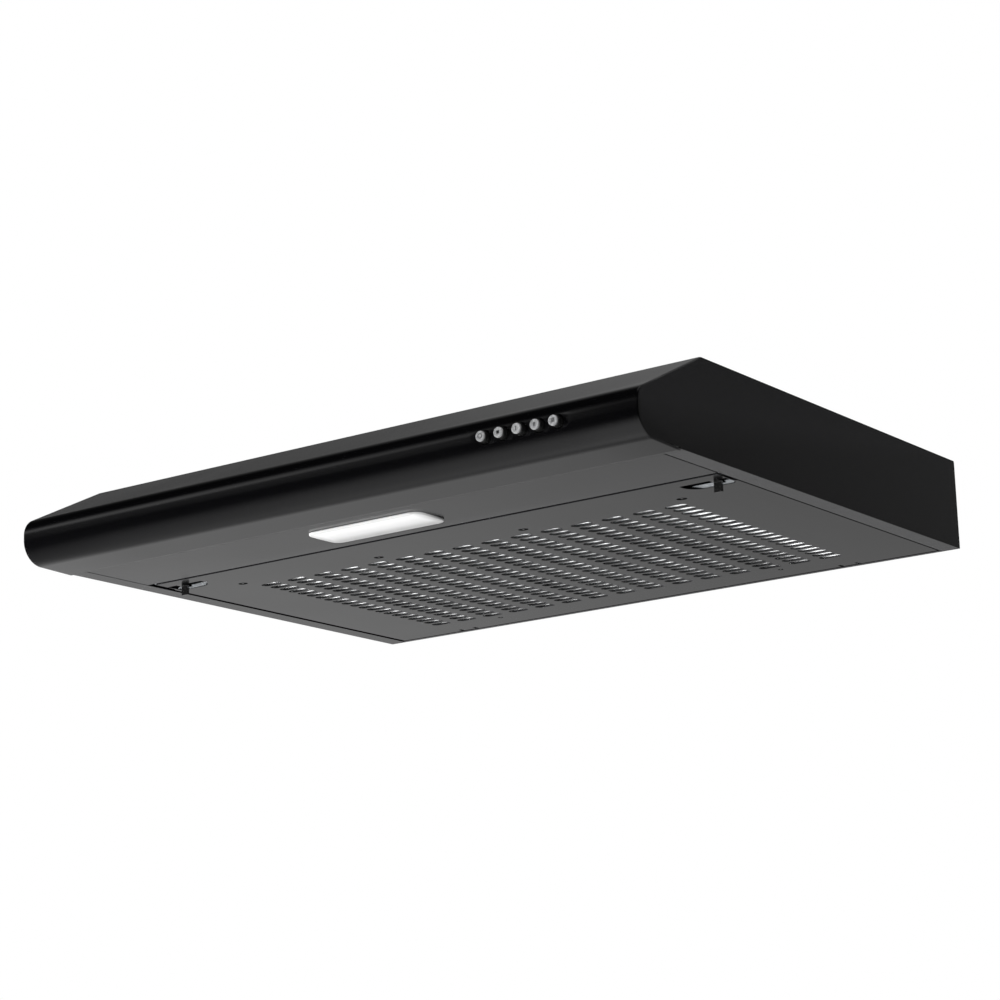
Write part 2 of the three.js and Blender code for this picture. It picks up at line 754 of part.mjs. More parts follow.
// Round finger guard below the motor bracket.
function inletGuard() {
  const rim = bracketReach + 4;
  const rings = [guardHub, (guardHub + rim) / 2, rim].map((radius) => turned([
    [radius - 1.2, guardZ - 2], [radius + 1.2, guardZ - 2], [radius + 1.2, guardZ], [radius - 1.2, guardZ],
  ], 0, 0, 18));
  const spokes = Array.from({ length: 6 }, (_, i) =>
    block(guardHub - 0.5, rim, -1.2, 1.2, guardZ - 2, guardZ)
      .rotateZ((4 * QUARTER * i) / 6 + bracketAngles[0]));
  const posts = bracketAngles.map((angle) =>
    rodZ(rim - 2, 0, guardZ - 2, bracketZ - bracketThick - gap, 3, 10).rotateZ(angle));
  return join(...rings, ...spokes, ...posts).translate(impellerX, yImpeller, 0);
}

// ---------------------------------------------------------------- duct collar and flaps

const zFlap = zTop + gap + flapRise;
const flapRadius = collarBore - flapClearance;
const flapPinRadius = 1.5;
const flapKnuckle = flapPinRadius + pinClearance + 1.1;

function ductCollar() {
  const base = zTop + gap;
  const top = base + collarHeight;
  const tube = turned([
    [collarBore, base], [collarRadius + collarFlange, base], [collarRadius + collarFlange, base + 2],
    [collarRadius, base + 2], [collarRadius, top], [collarBore, top],
  ], 0, yCollar, 32);
  const stopZ = zFlap - flapThick / 2 - gap;
  const stop = (side) => block(side * collarBore * 0.8 - 2, side * collarBore * 0.8 + 2,
    yCollar - 36, yCollar + 36,
    stopZ - 2, stopZ);
  const ring = turned([
    [collarBore - 1, base + 1], [collarBore + 0.5, base + 1],
    [collarBore + 0.5, stopZ], [collarBore - 1, stopZ],
  ], 0, yCollar, 32);
  const bore = rodY(0, yCollar - collarRadius - 1, yCollar + collarRadius + 1, zFlap, flapPinRadius + gap, 12);
  return cut(join(tube, ring, stop(-1), stop(1)), bore);
}

function flapPin() {
  return rodY(0, yCollar - collarRadius + 0.4, yCollar + collarRadius - 0.4, zFlap, flapPinRadius, 12);
}

// Each half disc turns on the pin by its own knuckles: the left one outside, the right one inside.
function backdraftFlap(side) {
  const straight = flapKnuckle + 0.6;
  const limit = Math.acos(straight / flapRadius);
  const plateShape = outline(arc(0, 0, flapRadius, -limit, limit, 16));
  const plate = alongZ(plateShape, -flapThick / 2, flapThick / 2);
  const spans = side > 0 ? [[-14, 14]] : [[-34, -16], [16, 34]];
  const knuckles = spans.flatMap(([y0, y1]) => [
    rodY(0, y0, y1, 0, flapKnuckle, 16), block(0, straight + 2, y0, y1, -flapThick / 2, flapThick / 2)]);
  const bores = spans.map(([y0, y1]) => rodY(0, y0 - 1, y1 + 1, 0, flapPinRadius + pinClearance, 16));
  const flap = cut(join(plate, ...knuckles), ...bores);
  return (side > 0 ? flap : mirroredX(flap)).translate(0, yCollar, zFlap);
}

// ---------------------------------------------------------------- electrical pieces

const boxX0 = -xSide + boxInset;
const boxX1 = boxX0 + boxLength;
const boxY1 = -boxSetback;
const boxY0 = boxY1 - boxDepth;
const boxTop = ceiling - gap;
const boxBottom = boxTop - 32;
const glandX = boxX0 + 20;
const glandY = (boxY0 + boxY1) / 2;

function terminalBox() {
  const body = block(boxX0, boxX1, boxY0, boxY1, boxBottom, boxTop);
  const hollow = block(boxX0 + boxWall, boxX1 - boxWall, boxY0 + boxWall, boxY1 - boxWall,
    boxBottom - 1, boxTop - boxWall);
  const inlet = rodZ(glandX, glandY, boxTop - boxWall - 1, boxTop + 1, glandRadius, 16);
  const outlets = [-1, 0, 1].map((place) =>
    rodX(boxX1 - boxWall - 1, boxX1 + 1, glandY + place * leadPitch, boxBottom + 8, harnessRadius + 1.2, 12));
  return cut(body, hollow, inlet, ...outlets);
}

function terminalBoxLid() {
  return block(boxX0, boxX1, boxY0, boxY1, boxBottom - gap - 1.6, boxBottom - gap);
}

function terminalBlock() {
  const x0 = boxX0 + 40;
  const z1 = boxTop - boxWall - gap;
  const body = block(x0, x0 + 26, glandY - 9, glandY + 9, z1 - 14, z1);
  const wells = [-1, 0, 1].flatMap((row) => [6.5, 19.5].map((step) =>
    rodZ(x0 + step, glandY + row * 5.6, z1 - 15, z1 - 6, 1.9, 8)));
  return cut(body, ...wells);
}

// Hexagon head above the top panel, threaded neck down into the terminal box.
function cableGland() {
  const neck = rodZ(glandX, glandY, boxTop - boxWall - 6, zTop + gap + 1, glandRadius - gap, 16);
  const head = rodZ(glandX, glandY, zTop + gap, zTop + gap + 6, glandRadius + 4, 6);
  const dome = rodZ(glandX, glandY, zTop + gap + 5, zTop + gap + 12, glandRadius - 0.5, 16);
  const bore = rodZ(glandX, glandY, boxTop - boxWall - 7, zTop + gap + 13, 3.7, 16);
  return cut(join(neck, head, dome), bore);
}

function capacitor() {
  const x0 = boxX0 + 5;
  const z = ceiling - gap - capacitorRadius - 1.5;
  const can = rodX(x0, x0 + capacitorLength, -capacitorSetback, z, capacitorRadius, 20);
  const stud = rodX(x0 + capacitorLength - 1, x0 + capacitorLength + 8, -capacitorSetback, z, 4, 10);
  return join(can, stud);
}

function capacitorStrap() {
  const x = boxX0 + 5 + capacitorLength / 2;
  const z = ceiling - gap - capacitorRadius - 1.5;
  const y = -capacitorSetback;
  const outer = capacitorRadius + gap + 1.2;
  const band = rodX(x - 6, x + 6, y, z, outer, 20);
  const feet = block(x - 6, x + 6, y - outer - 10, y + outer + 10, ceiling - gap - 1.2, ceiling - gap);
  const bore = rodX(x - 7, x + 7, y, z, capacitorRadius + gap, 20);
  const above = block(x - 7, x + 7, y - outer - 11, y + outer + 11, ceiling - gap, ceiling + 20);
  return cut(join(band, feet), bore, above);
}

// Flexible leads clipped to the ceiling, each a smooth curve through chosen points.
function harness(points) {
  const path = new THREE.CatmullRomCurve3(points.map((p) => new THREE.Vector3(...p)));
  const section = new THREE.Shape();
  section.absarc(0, 0, harnessRadius, 0, 4 * QUARTER, false);
  const steps = Math.round(path.getLength() / 15);
  return new THREE.ExtrudeGeometry(section, {
    extrudePath: path, steps, curveSegments: 3, bevelEnabled: false,
  });
}

const leadZ = 33.2;

const MOTOR_LEAD = [
  [-156, -40, 12.4], [-146, -40, 12.4], [-132, -40, 17], [-110, -50, 28], [-84, -80, leadZ],
  [-72, -130, leadZ], [-60, -178, 28], [-30, -196, 20], [5, -198, 4], [28, -192, -12],
  [50, -185, -17.4], [76, -180, -17.6], [90, -178, -17.6], [103.7, -177.5, -17.6],
];
const SWITCH_LEAD = [
  [-156, -47, 12.4], [-146, -47, 12.4], [-134, -50, 18], [-118, -80, 30], [-108, -140, leadZ],
  [-100, -220, leadZ], [-70, -290, leadZ], [10, -322, leadZ], [100, -336, leadZ], [170, -365, 24],
  [198, -402, 0], [201, -428, -14], [201, -447.6, -16.5],
];
const LAMP_LEAD = [
  [-156, -54, 12.4], [-146, -54, 12.4], [-136, -62, 18], [-130, -95, 30], [-126, -180, leadZ],
  [-122, -260, leadZ], [-100, -330, leadZ], [-40, -372, 28], [5, -388, 14], [33.5, -391.8, 2],
  [38.5, -391.8, -8], [38.5, -391.8, -15.2],
];

// ---------------------------------------------------------------- assembly

add('top_panel', topPanel(), 'blackPaint');
add('rear_wall', rearWall(), 'blackPaint');
add('side_panel_left', sidePanel(-1), 'blackPaint');
add('side_panel_right', sidePanel(1), 'blackPaint');
add('front_fascia', frontFascia(), 'blackPaint');

add('lamp_panel', lampPanel(), 'blackPaint');
add('lamp_lens', lampLens(), 'lens');
add('lamp_tray', lampTray(), 'whitePlastic');
add('led_board', ledBoard(), 'board');

add('grille_panel', grillePanel(), 'blackPaint');
for (const [side, hand] of [[-1, 'left'], [1, 'right']]) {
  add(`hinge_bracket_${hand}`, hingeBracket(side), 'zinc');
  add(`hinge_pin_${hand}`, hingePin(side), 'steel');
  add(`latch_${hand}`, latch(side), 'blackPlastic');
  add(`latch_keeper_${hand}`, latchKeeper(side), 'zinc');
  add(`filter_wire_${hand}`, filterWire(side), 'steel');
}
add('grease_filter_pad', filterPad(), 'fleece');

add('switch_housing', switchHousing(), 'greyPlastic');
for (let i = 0; i < buttonCount; i += 1) {
  add(`button_stem_${i + 1}`, buttonStem(i), 'blackPlastic');
  add(`button_cap_${i + 1}`, buttonCap(i), 'silverCap');
}

add('volute_housing', voluteHousing(), 'blackPlastic');
for (let i = 0; i < voluteEars().length; i += 1) {
  add(`volute_screw_${i + 1}`, voluteScrew(i), 'steel');
}
add('impeller', impeller(), 'greyPlastic');
add('motor_shaft', motorShaft(), 'steel');
add('motor', motor(), 'zinc');
add('motor_bracket', motorBracket(), 'zinc');
add('inlet_guard', inletGuard(), 'blackPlastic');

add('duct_collar', ductCollar(), 'blackPlastic');
add('flap_pin', flapPin(), 'steel');
add('backdraft_flap_left', backdraftFlap(-1), 'blackPlastic');
add('backdraft_flap_right', backdraftFlap(1), 'blackPlastic');

add('terminal_box', terminalBox(), 'blackPlastic');
add('terminal_box_lid', terminalBoxLid(), 'blackPlastic');
add('terminal_block', terminalBlock(), 'whitePlastic');
add('cable_gland', cableGland(), 'blackPlastic');
add('capacitor', capacitor(), 'aluminium');
add('capacitor_strap', capacitorStrap(), 'zinc');
add('motor_lead', harness(MOTOR_LEAD), 'cable');
add('lamp_lead', harness(LAMP_LEAD), 'cable');
add('switch_lead', harness(SWITCH_LEAD), 'cable');

export default hood;
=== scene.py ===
import json
import math

import bmesh
import bpy
from mathutils import Matrix, Vector, noise
from mathutils.geometry import delaunay_2d_cdt


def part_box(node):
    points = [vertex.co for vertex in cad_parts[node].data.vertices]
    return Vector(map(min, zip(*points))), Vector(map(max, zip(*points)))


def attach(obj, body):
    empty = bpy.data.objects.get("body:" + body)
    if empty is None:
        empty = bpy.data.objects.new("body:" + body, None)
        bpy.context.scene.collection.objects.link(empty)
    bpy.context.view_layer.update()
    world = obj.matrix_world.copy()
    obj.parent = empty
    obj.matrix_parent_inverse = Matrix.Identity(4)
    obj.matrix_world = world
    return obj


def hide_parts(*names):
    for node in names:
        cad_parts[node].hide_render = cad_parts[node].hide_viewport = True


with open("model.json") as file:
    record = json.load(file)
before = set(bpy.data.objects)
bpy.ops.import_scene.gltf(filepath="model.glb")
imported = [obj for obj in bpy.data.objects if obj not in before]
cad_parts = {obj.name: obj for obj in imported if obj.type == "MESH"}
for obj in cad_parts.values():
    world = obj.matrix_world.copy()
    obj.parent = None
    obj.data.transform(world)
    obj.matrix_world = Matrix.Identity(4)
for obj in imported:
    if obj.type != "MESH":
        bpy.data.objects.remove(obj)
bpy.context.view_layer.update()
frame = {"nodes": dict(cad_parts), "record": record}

MM = 0.001
TAU = 2 * math.pi
SEAM_GAP = 0.3 * MM

# The camera's place, aim, lens and roll, from fitting the photograph's outline and slots
CAMERA_PLACE = (1.26914, -1.99076, -0.52254)
CAMERA_AIM = (0.00593, -0.24178, 0.00914)
CAMERA_LENS = 97.04
CAMERA_ROLL = -1.611

# The studio's brightness by direction, as all but the camera sees it. Each row is a span of one coordinate of
# the direction, then the brightness at its two ends. They are set so that the greys of the
# slope, nose, underside and sides come near the photograph's from the camera's place.
ROOM = 0.004
WALL_START = (0.05, 0.6, 0.0, 1.0)
WALL_LEFT = (-0.72, -0.42, 0.6, 0.36)
WALL_RIGHT = (-0.2, 0.3, 1.0, 0.56)
WALL_TOP = (0.12, 0.46, 1.0, 0.06)
WALL_FOOT = (-0.8, -0.35, 0.15, 1.0)
UPPER_LOW = (0.3, 0.42, 0.0, 1.0)
UPPER_LEFT = (-0.7, -0.46, 0.0, 0.27)
FLOOR_LOW = (-0.78, -0.22, 0.85, 0.0)
FLOOR_BACK = (0.2, 0.6, 1.0, 0.25)
FLOOR_LEFT = (-0.75, -0.45, 0.4, 1.1)
STRIP_LOW = (0.2, 0.4, 0.0, 1.0)
STRIP_HIGH = (0.4, 0.66, 1.0, 0.0)
STRIP_LEFT = (-0.68, -0.46, 1.1, 0.16)
STRIP_SIDE = (-0.55, -0.35, 1.0, 0.0)
CEILING = (0.9, 0.97, 0.0, 0.6)
FLOOR_Z = -0.95
FLOOR_HALF = 7.0

# ------------------------------------------------------------------ sizes from the frame

TOP_LO, TOP_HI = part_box("top_panel")
FASCIA_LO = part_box("front_fascia")[0]
LAMP_LO, LAMP_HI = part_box("lamp_panel")
GRILLE_LO, GRILLE_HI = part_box("grille_panel")
LENS_LO, LENS_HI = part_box("lamp_lens")
X_SIDE = TOP_HI.x
Z_TOP = TOP_HI.z
Z_BOTTOM = FASCIA_LO.z
Y_NOSE = FASCIA_LO.y
Y_SEAM = LAMP_LO.y - SEAM_GAP
SHEET = TOP_HI.z - TOP_LO.z

# Front sizes, the same as the CAD source's
SLOPE_DEPTH = 86 * MM
NOSE_UPPER = 15 * MM
NOSE_LOWER = 20 * MM
NOSE_FLAT = 4 * MM

BUTTON_HOLE = 5.2 * MM

# Details that only the picture has: rounded ends, a sloping underside, button holes with a rolled
# edge turned inwards, and slightly narrower caps
END_ROUND = 1.4 * MM
UNDER_DROP = 1.2 * MM
HOLE_ROLL = 0.6 * MM
HOLE_DEPTH = 2.2 * MM
CAP_TRIM = 0.3 * MM
FASCIA_COLUMNS = (-0.2, -0.1, 0.0, 0.1, 0.155, 0.245)

# How far the lamp's light fades in from each edge of the lens, and how strong it is. The front and rear
# values add emission that falls from the lens's front to its rear: painted light on its front walls.
LENS_FADE_SIDE = 9 * MM
LENS_FADE_FRONT = 4 * MM
LENS_FADE_REAR = 17 * MM
LENS_GLOW = 0.22
LENS_FRONT_PAINTED_LIGHT = 0.26
LENS_REAR_PAINTED_LIGHT = 0.0
LENS_CORNER = 9 * MM

SLOT_LENGTH = 20 * MM
SLOT_WIDTH = 8.2 * MM
SLOT_PITCH_X = 29.2 * MM
SLOT_PITCH_Y = 11.9 * MM
SLOT_COLUMNS = 15
SLOT_ROWS = 21
SLOT_CENTRE_Y = -167.05 * MM


# ------------------------------------------------------------------ camera

def make_camera():
    position = Vector(CAMERA_PLACE)
    aim = Vector(CAMERA_AIM)
    data = bpy.data.cameras.new("photo_camera")
    data.sensor_width = 36.0
    data.lens = CAMERA_LENS
    data.clip_end = 60.0
    camera = bpy.data.objects.new("photo_camera", data)
    turn = (aim - position).to_track_quat("-Z", "Y")
    roll = math.radians(CAMERA_ROLL)
    camera.rotation_euler = (turn.to_matrix() @ Matrix.Rotation(roll, 3, "Z")).to_euler()
    camera.location = position
    bpy.context.scene.collection.objects.link(camera)
    bpy.context.scene.camera = camera


# ------------------------------------------------------------------ materials

def new_material(name):
    material = bpy.data.materials.new(name)
    material.use_nodes = True
    tree = material.node_tree
    return material, tree, tree.nodes["Principled BSDF"]


def object_noise(tree, scale, detail=3.0, stretch=(1, 1, 1)):
    coords = tree.nodes.new("ShaderNodeTexCoord")
    mapping = tree.nodes.new("ShaderNodeMapping")
    mapping.inputs["Scale"].default_value = stretch
    texture = tree.nodes.new("ShaderNodeTexNoise")
    texture.inputs["Scale"].default_value = scale
    texture.inputs["Detail"].default_value = detail
    tree.links.new(coords.outputs["Object"], mapping.inputs["Vector"])
    tree.links.new(mapping.outputs["Vector"], texture.inputs["Vector"])
    return texture.outputs["Fac"]


def vary_roughness(tree, shader, low, high, scale, stretch=(1, 1, 1)):
    span = tree.nodes.new("ShaderNodeMapRange")
    span.inputs["From Min"].default_value = 0.3
    span.inputs["From Max"].default_value = 0.7
    span.inputs["To Min"].default_value = low
    span.inputs["To Max"].default_value = high
    tree.links.new(object_noise(tree, scale, 4.0, stretch), span.inputs["Value"])
    tree.links.new(span.outputs["Result"], shader.inputs["Roughness"])


def add_bump(tree, shader, height, strength, distance):
    bump = tree.nodes.new("ShaderNodeBump")
    bump.inputs["Strength"].default_value = strength
    bump.inputs["Distance"].default_value = distance
    tree.links.new(height, bump.inputs["Height"])
    tree.links.new(bump.outputs["Normal"], shader.inputs["Normal"])


def vary_colour(tree, shader, low, high, factor):
    mix = tree.nodes.new("ShaderNodeMix")
    mix.data_type = "RGBA"
    mix.inputs["A"].default_value = (*low, 1)
    mix.inputs["B"].default_value = (*high, 1)
    tree.links.new(factor, mix.inputs["Factor"])
    tree.links.new(mix.outputs["Result"], shader.inputs["Base Color"])


# Lighter colour on sharp convex edges, read from the mesh's pointiness: a painted highlight along the edges.
def painted_edge_highlight(tree):
    geometry = tree.nodes.new("ShaderNodeNewGeometry")
    ramp = tree.nodes.new("ShaderNodeMapRange")
    ramp.inputs["From Min"].default_value = 0.53
    ramp.inputs["From Max"].default_value = 0.62
    tree.links.new(geometry.outputs["Pointiness"], ramp.inputs["Value"])
    return ramp.outputs["Result"]


def black_paint():
    material, tree, shader = new_material("black_paint")
    # The paint turns lighter on sharp edges: a painted highlight.
    vary_colour(tree, shader, (0.0012, 0.0012, 0.0014), (0.012, 0.012, 0.013), painted_edge_highlight(tree))
    vary_roughness(tree, shader, 0.15, 0.19, 9.0)
    add_bump(tree, shader, object_noise(tree, 420.0, 2.0), 0.05, 0.0004)
    shader.inputs["IOR"].default_value = 1.5
    return material


def plain(name, low, high, rough, scale=60.0, metallic=0.0, bump=0.1, depth=0.0002, stretch=(1, 1, 1)):
    material, tree, shader = new_material(name)
    vary_colour(tree, shader, low, high, object_noise(tree, scale, 4.0, stretch))
    vary_roughness(tree, shader, rough[0], rough[1], scale * 0.6, stretch)
    add_bump(tree, shader, object_noise(tree, scale * 8, 3.0, stretch), bump, depth)
    shader.inputs["Metallic"].default_value = metallic
    return material


def lens_material():
    material, tree, shader = new_material("opal_lens")
    vary_colour(tree, shader, (0.2, 0.2, 0.2), (0.24, 0.24, 0.24), object_noise(tree, 40.0))
    vary_roughness(tree, shader, 0.28, 0.36, 60.0)
    add_bump(tree, shader, object_noise(tree, 900.0, 2.0), 0.08, 0.0002)
    shader.inputs["Emission Color"].default_value = (1.0, 1.0, 1.0, 1)
    coords = tree.nodes.new("ShaderNodeTexCoord")
    split = tree.nodes.new("ShaderNodeSeparateXYZ")
    tree.links.new(coords.outputs["Object"], split.inputs["Vector"])
    x, y = split.outputs["X"], split.outputs["Y"]
    sides = [combine(tree, "DIVIDE", combine(tree, "SUBTRACT", x, LENS_LO.x), LENS_FADE_SIDE),
             combine(tree, "DIVIDE", combine(tree, "SUBTRACT", LENS_HI.x, x), LENS_FADE_SIDE),
             combine(tree, "DIVIDE", combine(tree, "SUBTRACT", y, LENS_LO.y), LENS_FADE_FRONT),
             combine(tree, "DIVIDE", combine(tree, "SUBTRACT", LENS_HI.y, y), LENS_FADE_REAR)]
    depth = combine(tree, "MINIMUM", combine(tree, "MINIMUM", sides[0], sides[1]),
                    combine(tree, "MINIMUM", sides[2], sides[3]))
    # Emission strongest at the lens's front and none at its rear: painted light on the front walls, added to
    # the lamp's own light.
    edge = map_range(tree, y, LENS_LO.y + 6 * MM, LENS_HI.y - 6 * MM, LENS_FRONT_PAINTED_LIGHT, LENS_REAR_PAINTED_LIGHT)
    lit = map_range(tree, depth, 0.15, 1.0, 0.0, 1.0)
    lamp_glow_and_painted_light = combine(tree, "ADD", edge, combine(tree, "MULTIPLY", lit, LENS_GLOW))
    tree.links.new(lamp_glow_and_painted_light, shader.inputs["Emission Strength"])
    return material


def gloss_plastic():
    material = plain("gloss_black_plastic", (0.004, 0.004, 0.004), (0.007, 0.007, 0.007), (0.14, 0.22), 80.0,
                     0.0, 0.03)
    material.node_tree.nodes["Principled BSDF"].inputs["IOR"].default_value = 1.9
    return material


def fleece_material():
    material, tree, shader = new_material("filter_fleece")
    fibres = object_noise(tree, 700.0, 6.0, (1, 0.4, 1))
    # Streaks along Y mix the fleece colour from dark to light: painted shade over whole columns of slots, not
    # folds in the pad.
    folds = map_range(tree, object_noise(tree, 34.0, 2.0, (1, 0.12, 0)), 0.42, 0.56, 0.0, 1.0)
    vary_colour(tree, shader, (0.24, 0.245, 0.25), (0.58, 0.588, 0.596), combine(
        tree, "MULTIPLY", folds, map_range(tree, fibres, 0.2, 0.7, 0.6, 1.0)))
    shader.inputs["Roughness"].default_value = 1.0
    shader.inputs["Sheen Weight"].default_value = 0.3
    add_bump(tree, shader, fibres, 0.6, 0.0008)
    return material


def make_materials():
    return {
        "black_paint": black_paint(),
        "opal_lens": lens_material(),
        "white_plastic": plain("white_plastic", (0.74, 0.74, 0.72), (0.82, 0.82, 0.8), (0.4, 0.55)),
        "led_board": plain("led_board", (0.7, 0.74, 0.7), (0.8, 0.83, 0.8), (0.35, 0.5)),
        "zinc_steel": plain("zinc_steel", (0.36, 0.38, 0.4), (0.56, 0.58, 0.6), (0.28, 0.5), 90.0, 0.9),
        "bright_steel": plain("bright_steel", (0.5, 0.5, 0.5), (0.66, 0.66, 0.66), (0.18, 0.3), 120.0, 1.0,
                              0.06, 0.0001, (1, 1, 8)),
        "gloss_black_plastic": gloss_plastic(),
        "silver_cap": plain("silver_cap", (0.05, 0.052, 0.054), (0.52, 0.525, 0.53), (0.3, 0.45),
                            900.0, 0.4, 0.3),
        "black_plastic": plain("black_plastic", (0.004, 0.004, 0.0043), (0.008, 0.008, 0.0085), (0.36, 0.48),
                               150.0, 0.0, 0.2, 0.0003),
        "grey_plastic": plain("grey_plastic", (0.11, 0.12, 0.13), (0.16, 0.17, 0.18), (0.45, 0.6), 150.0),
        "filter_fleece": fleece_material(),
        "aluminium": plain("aluminium", (0.5, 0.51, 0.52), (0.64, 0.65, 0.66), (0.25, 0.4), 80.0, 1.0,
                           0.08, 0.0001, (12, 1, 1)),
        "cable_sheath": plain("cable_sheath", (0.6, 0.6, 0.58), (0.7, 0.7, 0.68), (0.4, 0.5), 60.0),
    }


# ------------------------------------------------------------------ studio

def make_floor():
    mesh = bpy.data.meshes.new("floor")
    corners = [(x * FLOOR_HALF, y * FLOOR_HALF, FLOOR_Z) for x, y in ((-1, -1), (1, -1), (1, 1), (-1, 1))]
    mesh.from_pydata(corners, [], [(0, 1, 2, 3)])
    floor = bpy.data.objects.new("floor", mesh)
    bpy.context.scene.collection.objects.link(floor)
    material, tree, shader = new_material("floor_paper")
    vary_colour(tree, shader, (0.74, 0.74, 0.74), (0.78, 0.78, 0.78), object_noise(tree, 2.0))
    shader.inputs["Roughness"].default_value = 0.9
    mesh.materials.append(material)
    floor.visible_glossy = False


def make_world():
    """White to the camera. Everything else is lit by a dark room with four bright patches and a ceiling."""
    world = bpy.data.worlds.new("studio")
    bpy.context.scene.world = world
    world.use_nodes = True
    tree = world.node_tree
    tree.nodes.clear()
    output = tree.nodes.new("ShaderNodeOutputWorld")
    seen = tree.nodes.new("ShaderNodeBackground")
    seen.inputs["Color"].default_value = (1, 1, 1, 1)
    lit = tree.nodes.new("ShaderNodeBackground")
    path = tree.nodes.new("ShaderNodeLightPath")
    mix = tree.nodes.new("ShaderNodeMixShader")
    tree.links.new(path.outputs["Is Camera Ray"], mix.inputs["Fac"])
    tree.links.new(lit.outputs["Background"], mix.inputs[1])
    tree.links.new(seen.outputs["Background"], mix.inputs[2])
    tree.links.new(mix.outputs["Shader"], output.inputs["Surface"])
    coords = tree.nodes.new("ShaderNodeTexCoord")
    split = tree.nodes.new("ShaderNodeSeparateXYZ")
    tree.links.new(coords.outputs["Generated"], split.inputs["Vector"])
    x, y, z = (split.outputs[axis] for axis in "XYZ")

    def product(*factors):
        value = factors[0]
        for factor in factors[1:]:
            value = combine(tree, "MULTIPLY", value, factor)
        return value

    back = map_range(tree, y, *WALL_START)
    wall = product(back, map_range(tree, x, *WALL_LEFT), map_range(tree, x, *WALL_RIGHT),
                   map_range(tree, z, *WALL_TOP), map_range(tree, z, *WALL_FOOT))
    upper = product(back, map_range(tree, z, *UPPER_LOW), map_range(tree, x, *UPPER_LEFT))
    ground = product(map_range(tree, z, *FLOOR_LOW), map_range(tree, y, *FLOOR_BACK),
                     map_range(tree, x, *FLOOR_LEFT))
    strip = product(map_range(tree, z, *STRIP_LOW), map_range(tree, z, *STRIP_HIGH),
                    map_range(tree, y, *STRIP_SIDE), map_range(tree, x, *STRIP_LEFT))
    ceiling = map_range(tree, z, *CEILING)
    total = ROOM
    for part in (wall, upper, ground, strip, ceiling):
        total = combine(tree, "ADD", part, total)
    tree.links.new(total, lit.inputs["Strength"])


def combine(tree, operation, first, second):
    node = tree.nodes.new("ShaderNodeMath")
    node.operation = operation
    for socket, value in zip(node.inputs, (first, second)):
        if isinstance(value, (int, float)):
            socket.default_value = value
        else:
            tree.links.new(value, socket)
    return node.outputs["Value"]


def map_range(tree, value, low, high, to_low, to_high):
    node = tree.nodes.new("ShaderNodeMapRange")
    node.interpolation_type = "SMOOTHSTEP"
    node.inputs["From Min"].default_value = low
    node.inputs["From Max"].default_value = high
    node.inputs["To Min"].default_value = to_low
    node.inputs["To Max"].default_value = to_high
    tree.links.new(value, node.inputs["Value"])
    return node.outputs["Result"]


def area_light(name, place, aim, width, height, power):
    data = bpy.data.lights.new(name, "AREA")
    data.shape = "RECTANGLE"
    data.size = width
    data.size_y = height
    data.energy = power
    light = bpy.data.objects.new(name, data)
    light.location = place
    light.rotation_euler = (Vector(aim) - Vector(place)).to_track_quat("-Z", "Y").to_euler()
    light.visible_camera = False
    light.visible_glossy = False
    bpy.context.scene.collection.objects.link(light)


def make_lights():
    area_light("low_left", (-2.6, -0.9, -0.7), (0, -0.2, 0), 0.7, 0.3, 420.0)
    area_light("low_front", (0.6, -2.6, -0.3), (0.1, -0.3, 0), 1.6, 0.8, 45.0)
    area_light("under_soft", (0.3, -0.7, -0.92), (0.1, -0.2, 0), 1.6, 1.2, 7.0)
    area_light("top_soft", (0.3, -0.6, 2.4), (0, -0.2, 0), 2.4, 2.4, 40.0)
    area_light("back_soft", (-0.5, 2.2, 1.4), (0, 0, 0), 1.6, 1.2, 20.0)


# ------------------------------------------------------------------ mesh helpers

def link(name, mesh, slot, body, *nodes):
    piece = bpy.data.objects.new(name, mesh)
    bpy.context.scene.collection.objects.link(piece)
    mesh.materials.clear()
    mesh.materials.append(MATERIALS[slot])
    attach(piece, body)
    if nodes:
        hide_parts(*nodes)
    return piece


def flatten_normals(piece):
    normals = piece.modifiers.new("normals", "WEIGHTED_NORMAL")
    normals.weight = 90
    normals.keep_sharp = True


def smooth(mesh, angle=35):
    mesh.shade_smooth()
    mesh.set_sharp_from_angle(angle=math.radians(angle))


def curve_sheet(name, outline, holes, z0, z1, edge):
    """A flat plate filled between closed [x, y] loops, with rolled edges, as a mesh."""
    data = bpy.data.curves.new(name, "CURVE")
    data.dimensions = "2D"
    data.fill_mode = "BOTH"
    data.extrude = (z1 - z0) / 2 - edge
    data.bevel_depth = edge
    data.bevel_resolution = 2
    data.offset = -edge
    for loop in [outline, *holes]:
        spline = data.splines.new("POLY")
        spline.points.add(len(loop) - 1)
        for point, (x, y) in zip(spline.points, loop):
            point.co = (x, y, 0, 1)
        spline.use_cyclic_u = True
    carrier = bpy.data.objects.new(name + "_curve", data)
    bpy.context.scene.collection.objects.link(carrier)
    graph = bpy.context.evaluated_depsgraph_get()
    mesh = bpy.data.meshes.new_from_object(carrier.evaluated_get(graph))
    mesh.transform(Matrix.Translation((0, 0, (z0 + z1) / 2)))
    bpy.data.objects.remove(carrier)
    weld(mesh)
    smooth(mesh)
    mesh.name = name
    return mesh


def weld(mesh, distance=1e-6):
    bm = bmesh.new()
    bm.from_mesh(mesh)
    bmesh.ops.remove_doubles(bm, verts=bm.verts, dist=distance)
    bmesh.ops.recalc_face_normals(bm, faces=bm.faces)
    bm.to_mesh(mesh)
    bm.free()


def arc(cx, cy, radius, start, end, steps):
    return [(cx + radius * math.cos(start + (end - start) * i / steps),
             cy + radius * math.sin(start + (end - start) * i / steps)) for i in range(steps + 1)]


